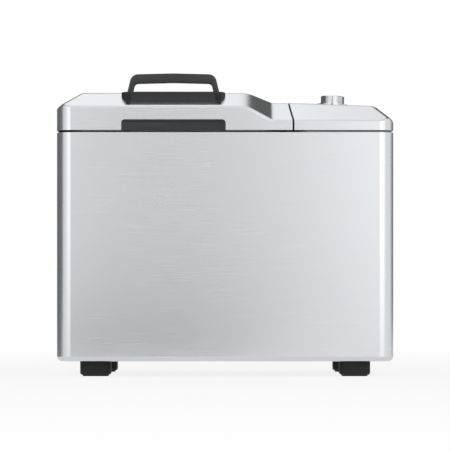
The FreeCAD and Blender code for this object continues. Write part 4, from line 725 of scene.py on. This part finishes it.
class BREAD_OT_dial(bpy.types.Operator):
    """Cuts flutes in the dial's side and a dish in its top, adds its pointer and prints ticks round it"""

    bl_idname = "bread.dial"
    bl_label = "Dial"

    def execute(self, context):
        sizes = context.scene.bread_sizes
        low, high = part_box("dial_knob")
        radius = (high.y - low.y) / 2
        tall = (high.z - low.z - 2 * radius * math.sin(PANEL_TILT)) / math.cos(PANEL_TILT)
        middle = (low + high) / 2
        self.knob(sizes, radius, tall, middle)
        self.pointer(radius, tall, middle)
        self.ticks(sizes, radius)
        return {"FINISHED"}

    def knob(self, sizes, radius, tall, middle):
        """A fluted drum with a bevelled rim and a dished top."""
        chamfer = 0.5 * MM
        land = 1.2 * MM
        dish_wall = 0.6 * MM
        dish = 0.5 * MM
        cone_wide = radius * 0.45
        cone = 0.2 * MM
        slack = 0.01 * MM
        bare()
        bpy.ops.mesh.primitive_cylinder_add(vertices=sizes.flutes * 4, radius=radius, depth=tall)
        knob = bpy.context.object
        step = math.tau / sizes.flutes

        def in_flute(point):
            return abs(math.atan2(point.co.x, point.co.y) % step - step / 2) < step / 3

        choose(knob, "VERT", in_flute)
        narrow = 1 - sizes.flute / radius
        bpy.ops.transform.resize(value=(narrow, narrow, 1), center_override=(0, 0, 0))
        close()
        choose(knob, "FACE", lambda face: face.normal.z > 0.9)
        bpy.ops.mesh.inset(thickness=chamfer, depth=0)
        bpy.ops.mesh.inset(thickness=land, depth=0)
        bpy.ops.mesh.inset(thickness=dish_wall, depth=-dish)
        bpy.ops.mesh.inset(thickness=cone_wide, depth=-cone)
        close()
        top = tall / 2 - slack
        rim = radius - sizes.flute - 10 * slack
        choose(knob, "VERT", lambda point: point.co.z > top and point.co.xy.length > rim)
        bpy.ops.transform.translate(value=(0, 0, -chamfer))
        close()
        knob.rotation_euler = (0, PANEL_TILT, 0)
        knob.location = middle
        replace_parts(settle(knob, "fluted_dial", "dial", "dial_metal"), "dial_knob")

    def pointer(self, radius, tall, middle):
        """A dark bar let into the dish."""
        wide = 1.3 * MM
        long = radius * 0.42
        out = radius * 0.56
        thick = 0.45 * MM
        sunk = 0.75 * MM
        line = thicken(tile(wide, long, (0, out)), thick)
        line.rotation_euler = (0, PANEL_TILT, 0)
        line.location = middle + PANEL_UP * (tall / 2 - sunk)
        settle(line, "dial_pointer", "dial", "black_plastic", "foot_black")

    def ticks(self, sizes, radius):
        """Short pale lines round the dial, with a gap towards the front."""
        wide = 0.7 * MM
        long = 2.4 * MM
        gap = 7.6 * MM
        reach = radius + gap
        first, sweep = -140, 280
        tick = thicken(tile(wide, long), sizes.print_thick)
        marks = []
        for number in range(sizes.ticks):
            turn = math.radians(first + sweep * number / (sizes.ticks - 1))
            marks.append(twin(tick, (-math.sin(turn) * reach, math.cos(turn) * reach, 0), turn))
        bpy.data.objects.remove(tick)
        scale = join(marks)
        lay_on_panel(scale, PANEL_POINT.x, PANEL_POINT.y, FASCIA_TOP)
        settle(scale, "dial_ticks", "housing", "key_silver", "printed_white")


class BREAD_OT_display(bpy.types.Operator):
    """Sets the dark segments of the display: a time, and a row of blocks for the stages of a programme"""

    bl_idname = "bread.display"
    bl_label = "Display"

    def execute(self, context):
        sizes = context.scene.bread_sizes
        low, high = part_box("display_lens")
        segments = join(self.time(sizes) + self.blocks(sizes))
        lay_on_panel(segments, (low.x + high.x) / 2, (low.y + high.y) / 2, CELL_TOP)
        settle(segments, "display_segments", "housing", "fascia_black")
        return {"FINISHED"}

    def bar(self, half, reach, thick):
        """One segment: a flat bar with pointed ends."""
        bar = disc(6, half)
        for side in (-1, 1):
            choose(bar, "VERT", lambda point: point.co.x * side > half * 0.1)
            bpy.ops.transform.translate(value=(side * (reach - half), 0, 0))
            close()
        return thicken(bar, thick)

    def time(self, sizes):
        """Three digits of seven segments, with a colon after the first."""
        tall = sizes.digit
        half = tall * 0.055
        reach = tall * 0.22
        step = tall * 0.24
        dot_up = step * 0.8
        pitch = tall * 0.72
        rise = 4 * MM
        colon = -0.58
        digits = {-1.3: "abgcd", 0.15: "abged", 1.3: "abcdef"}
        places = {
            "a": (0, 2, 0),
            "b": (1, 1, 1),
            "c": (1, -1, 1),
            "d": (0, -2, 0),
            "e": (-1, -1, 1),
            "f": (-1, 1, 1),
            "g": (0, 0, 0),
        }
        bar = self.bar(half, reach, sizes.print_thick)
        parts = []
        for column, lit in digits.items():
            for name in lit:
                across, up, turned = places[name]
                spot = (column * pitch + across * step, up * step + rise, 0)
                parts.append(twin(bar, spot, math.pi / 2 * turned))
        bpy.data.objects.remove(bar)
        dot = thicken(disc(12, half), sizes.print_thick)
        for up in (-1, 1):
            parts.append(twin(dot, (colon * pitch, up * dot_up + rise, 0)))
        bpy.data.objects.remove(dot)
        return parts

    def blocks(self, sizes):
        """A row of seven blocks below the time."""
        count = 7
        pitch = 7.0 * MM
        drop = 13.5 * MM
        wide, tall = 5.0 * MM, 2.0 * MM
        block = thicken(tile(wide, tall), sizes.print_thick)
        middle = (count - 1) / 2
        parts = [twin(block, ((number - middle) * pitch, -drop, 0)) for number in range(count)]
        bpy.data.objects.remove(block)
        return parts


class BREAD_OT_key_marks(bpy.types.Operator):
    """Prints a plain sign on each key"""

    bl_idname = "bread.key_marks"
    bl_label = "Key marks"

    def execute(self, context):
        sizes = context.scene.bread_sizes
        half = sizes.mark / 2
        signs = {
            "menu_up": lambda: [disc(3, half)],
            "menu_down": lambda: [disc(3, half, turn=math.pi)],
            "crust": lambda: [self.step(half, number) for number in (1, 2, 3)],
            "loaf": lambda: [self.loaf(half)],
            "timer": lambda: [self.ring(half), tile(half * 0.24, half * 0.6, (0, half * 0.3))],
            "stop": lambda: [tile(half * 1.6, half * 1.6)],
            "start": lambda: [disc(3, half, turn=-math.pi / 2)],
        }
        for key, draw in signs.items():
            low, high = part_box(key + "_button")
            mark = join([thicken(shape, sizes.print_thick) for shape in draw()])
            lay_on_panel(mark, (low.x + high.x) / 2, (low.y + high.y) / 2, KEY_TOP)
            settle(mark, key + "_mark", key + "_key", "fascia_black")
        return {"FINISHED"}

    def step(self, half, number):
        """One of three bars that grow from left to right."""
        tall = half * 0.7 * number
        return tile(half * 0.6, tall, ((number - 2) * half, tall / 2 - half))

    def loaf(self, half):
        """A loaf seen from its end."""
        shape = tile(half * 2.4, half * 1.7)
        choose(shape, "VERT", lambda point: point.co.y > 0)
        bpy.ops.mesh.bevel(offset=half * 0.7, segments=4, affect="VERTICES")
        close()
        return shape

    def ring(self, half):
        """A clock's rim."""
        shape = disc(24, half)
        choose(shape, "FACE", lambda face: True)
        bpy.ops.mesh.inset(thickness=half * 0.24)
        bpy.ops.mesh.delete(type="FACE")
        close()
        return shape


class BREAD_PT_panel(bpy.types.Panel):
    """Lists the steps of the dressing"""

    bl_label = "Bread machine"
    bl_idname = "BREAD_PT_panel"
    bl_space_type = "VIEW_3D"
    bl_region_type = "UI"
    bl_category = "Bread machine"

    def draw(self, context):
        for step in STEPS:
            self.layout.operator(step.bl_idname)


STEPS = (
    BREAD_OT_finishes,
    BREAD_OT_handle,
    BREAD_OT_pull_strip,
    BREAD_OT_dial,
    BREAD_OT_display,
    BREAD_OT_key_marks,
    BREAD_OT_stage,
)
CLASSES = (BreadColours, BreadSizes, *STEPS, BREAD_PT_panel)


def register():
    for kind in CLASSES:
        bpy.utils.register_class(kind)
    bpy.types.Scene.bread_colours = PointerProperty(type=BreadColours)
    bpy.types.Scene.bread_sizes = PointerProperty(type=BreadSizes)


def unregister():
    del bpy.types.Scene.bread_sizes
    del bpy.types.Scene.bread_colours
    for kind in reversed(CLASSES):
        bpy.utils.unregister_class(kind)


def main():
    register()
    for step in STEPS:
        group, name = step.bl_idname.split(".")
        getattr(getattr(bpy.ops, group), name)()


if __name__ == "__main__":
    main()
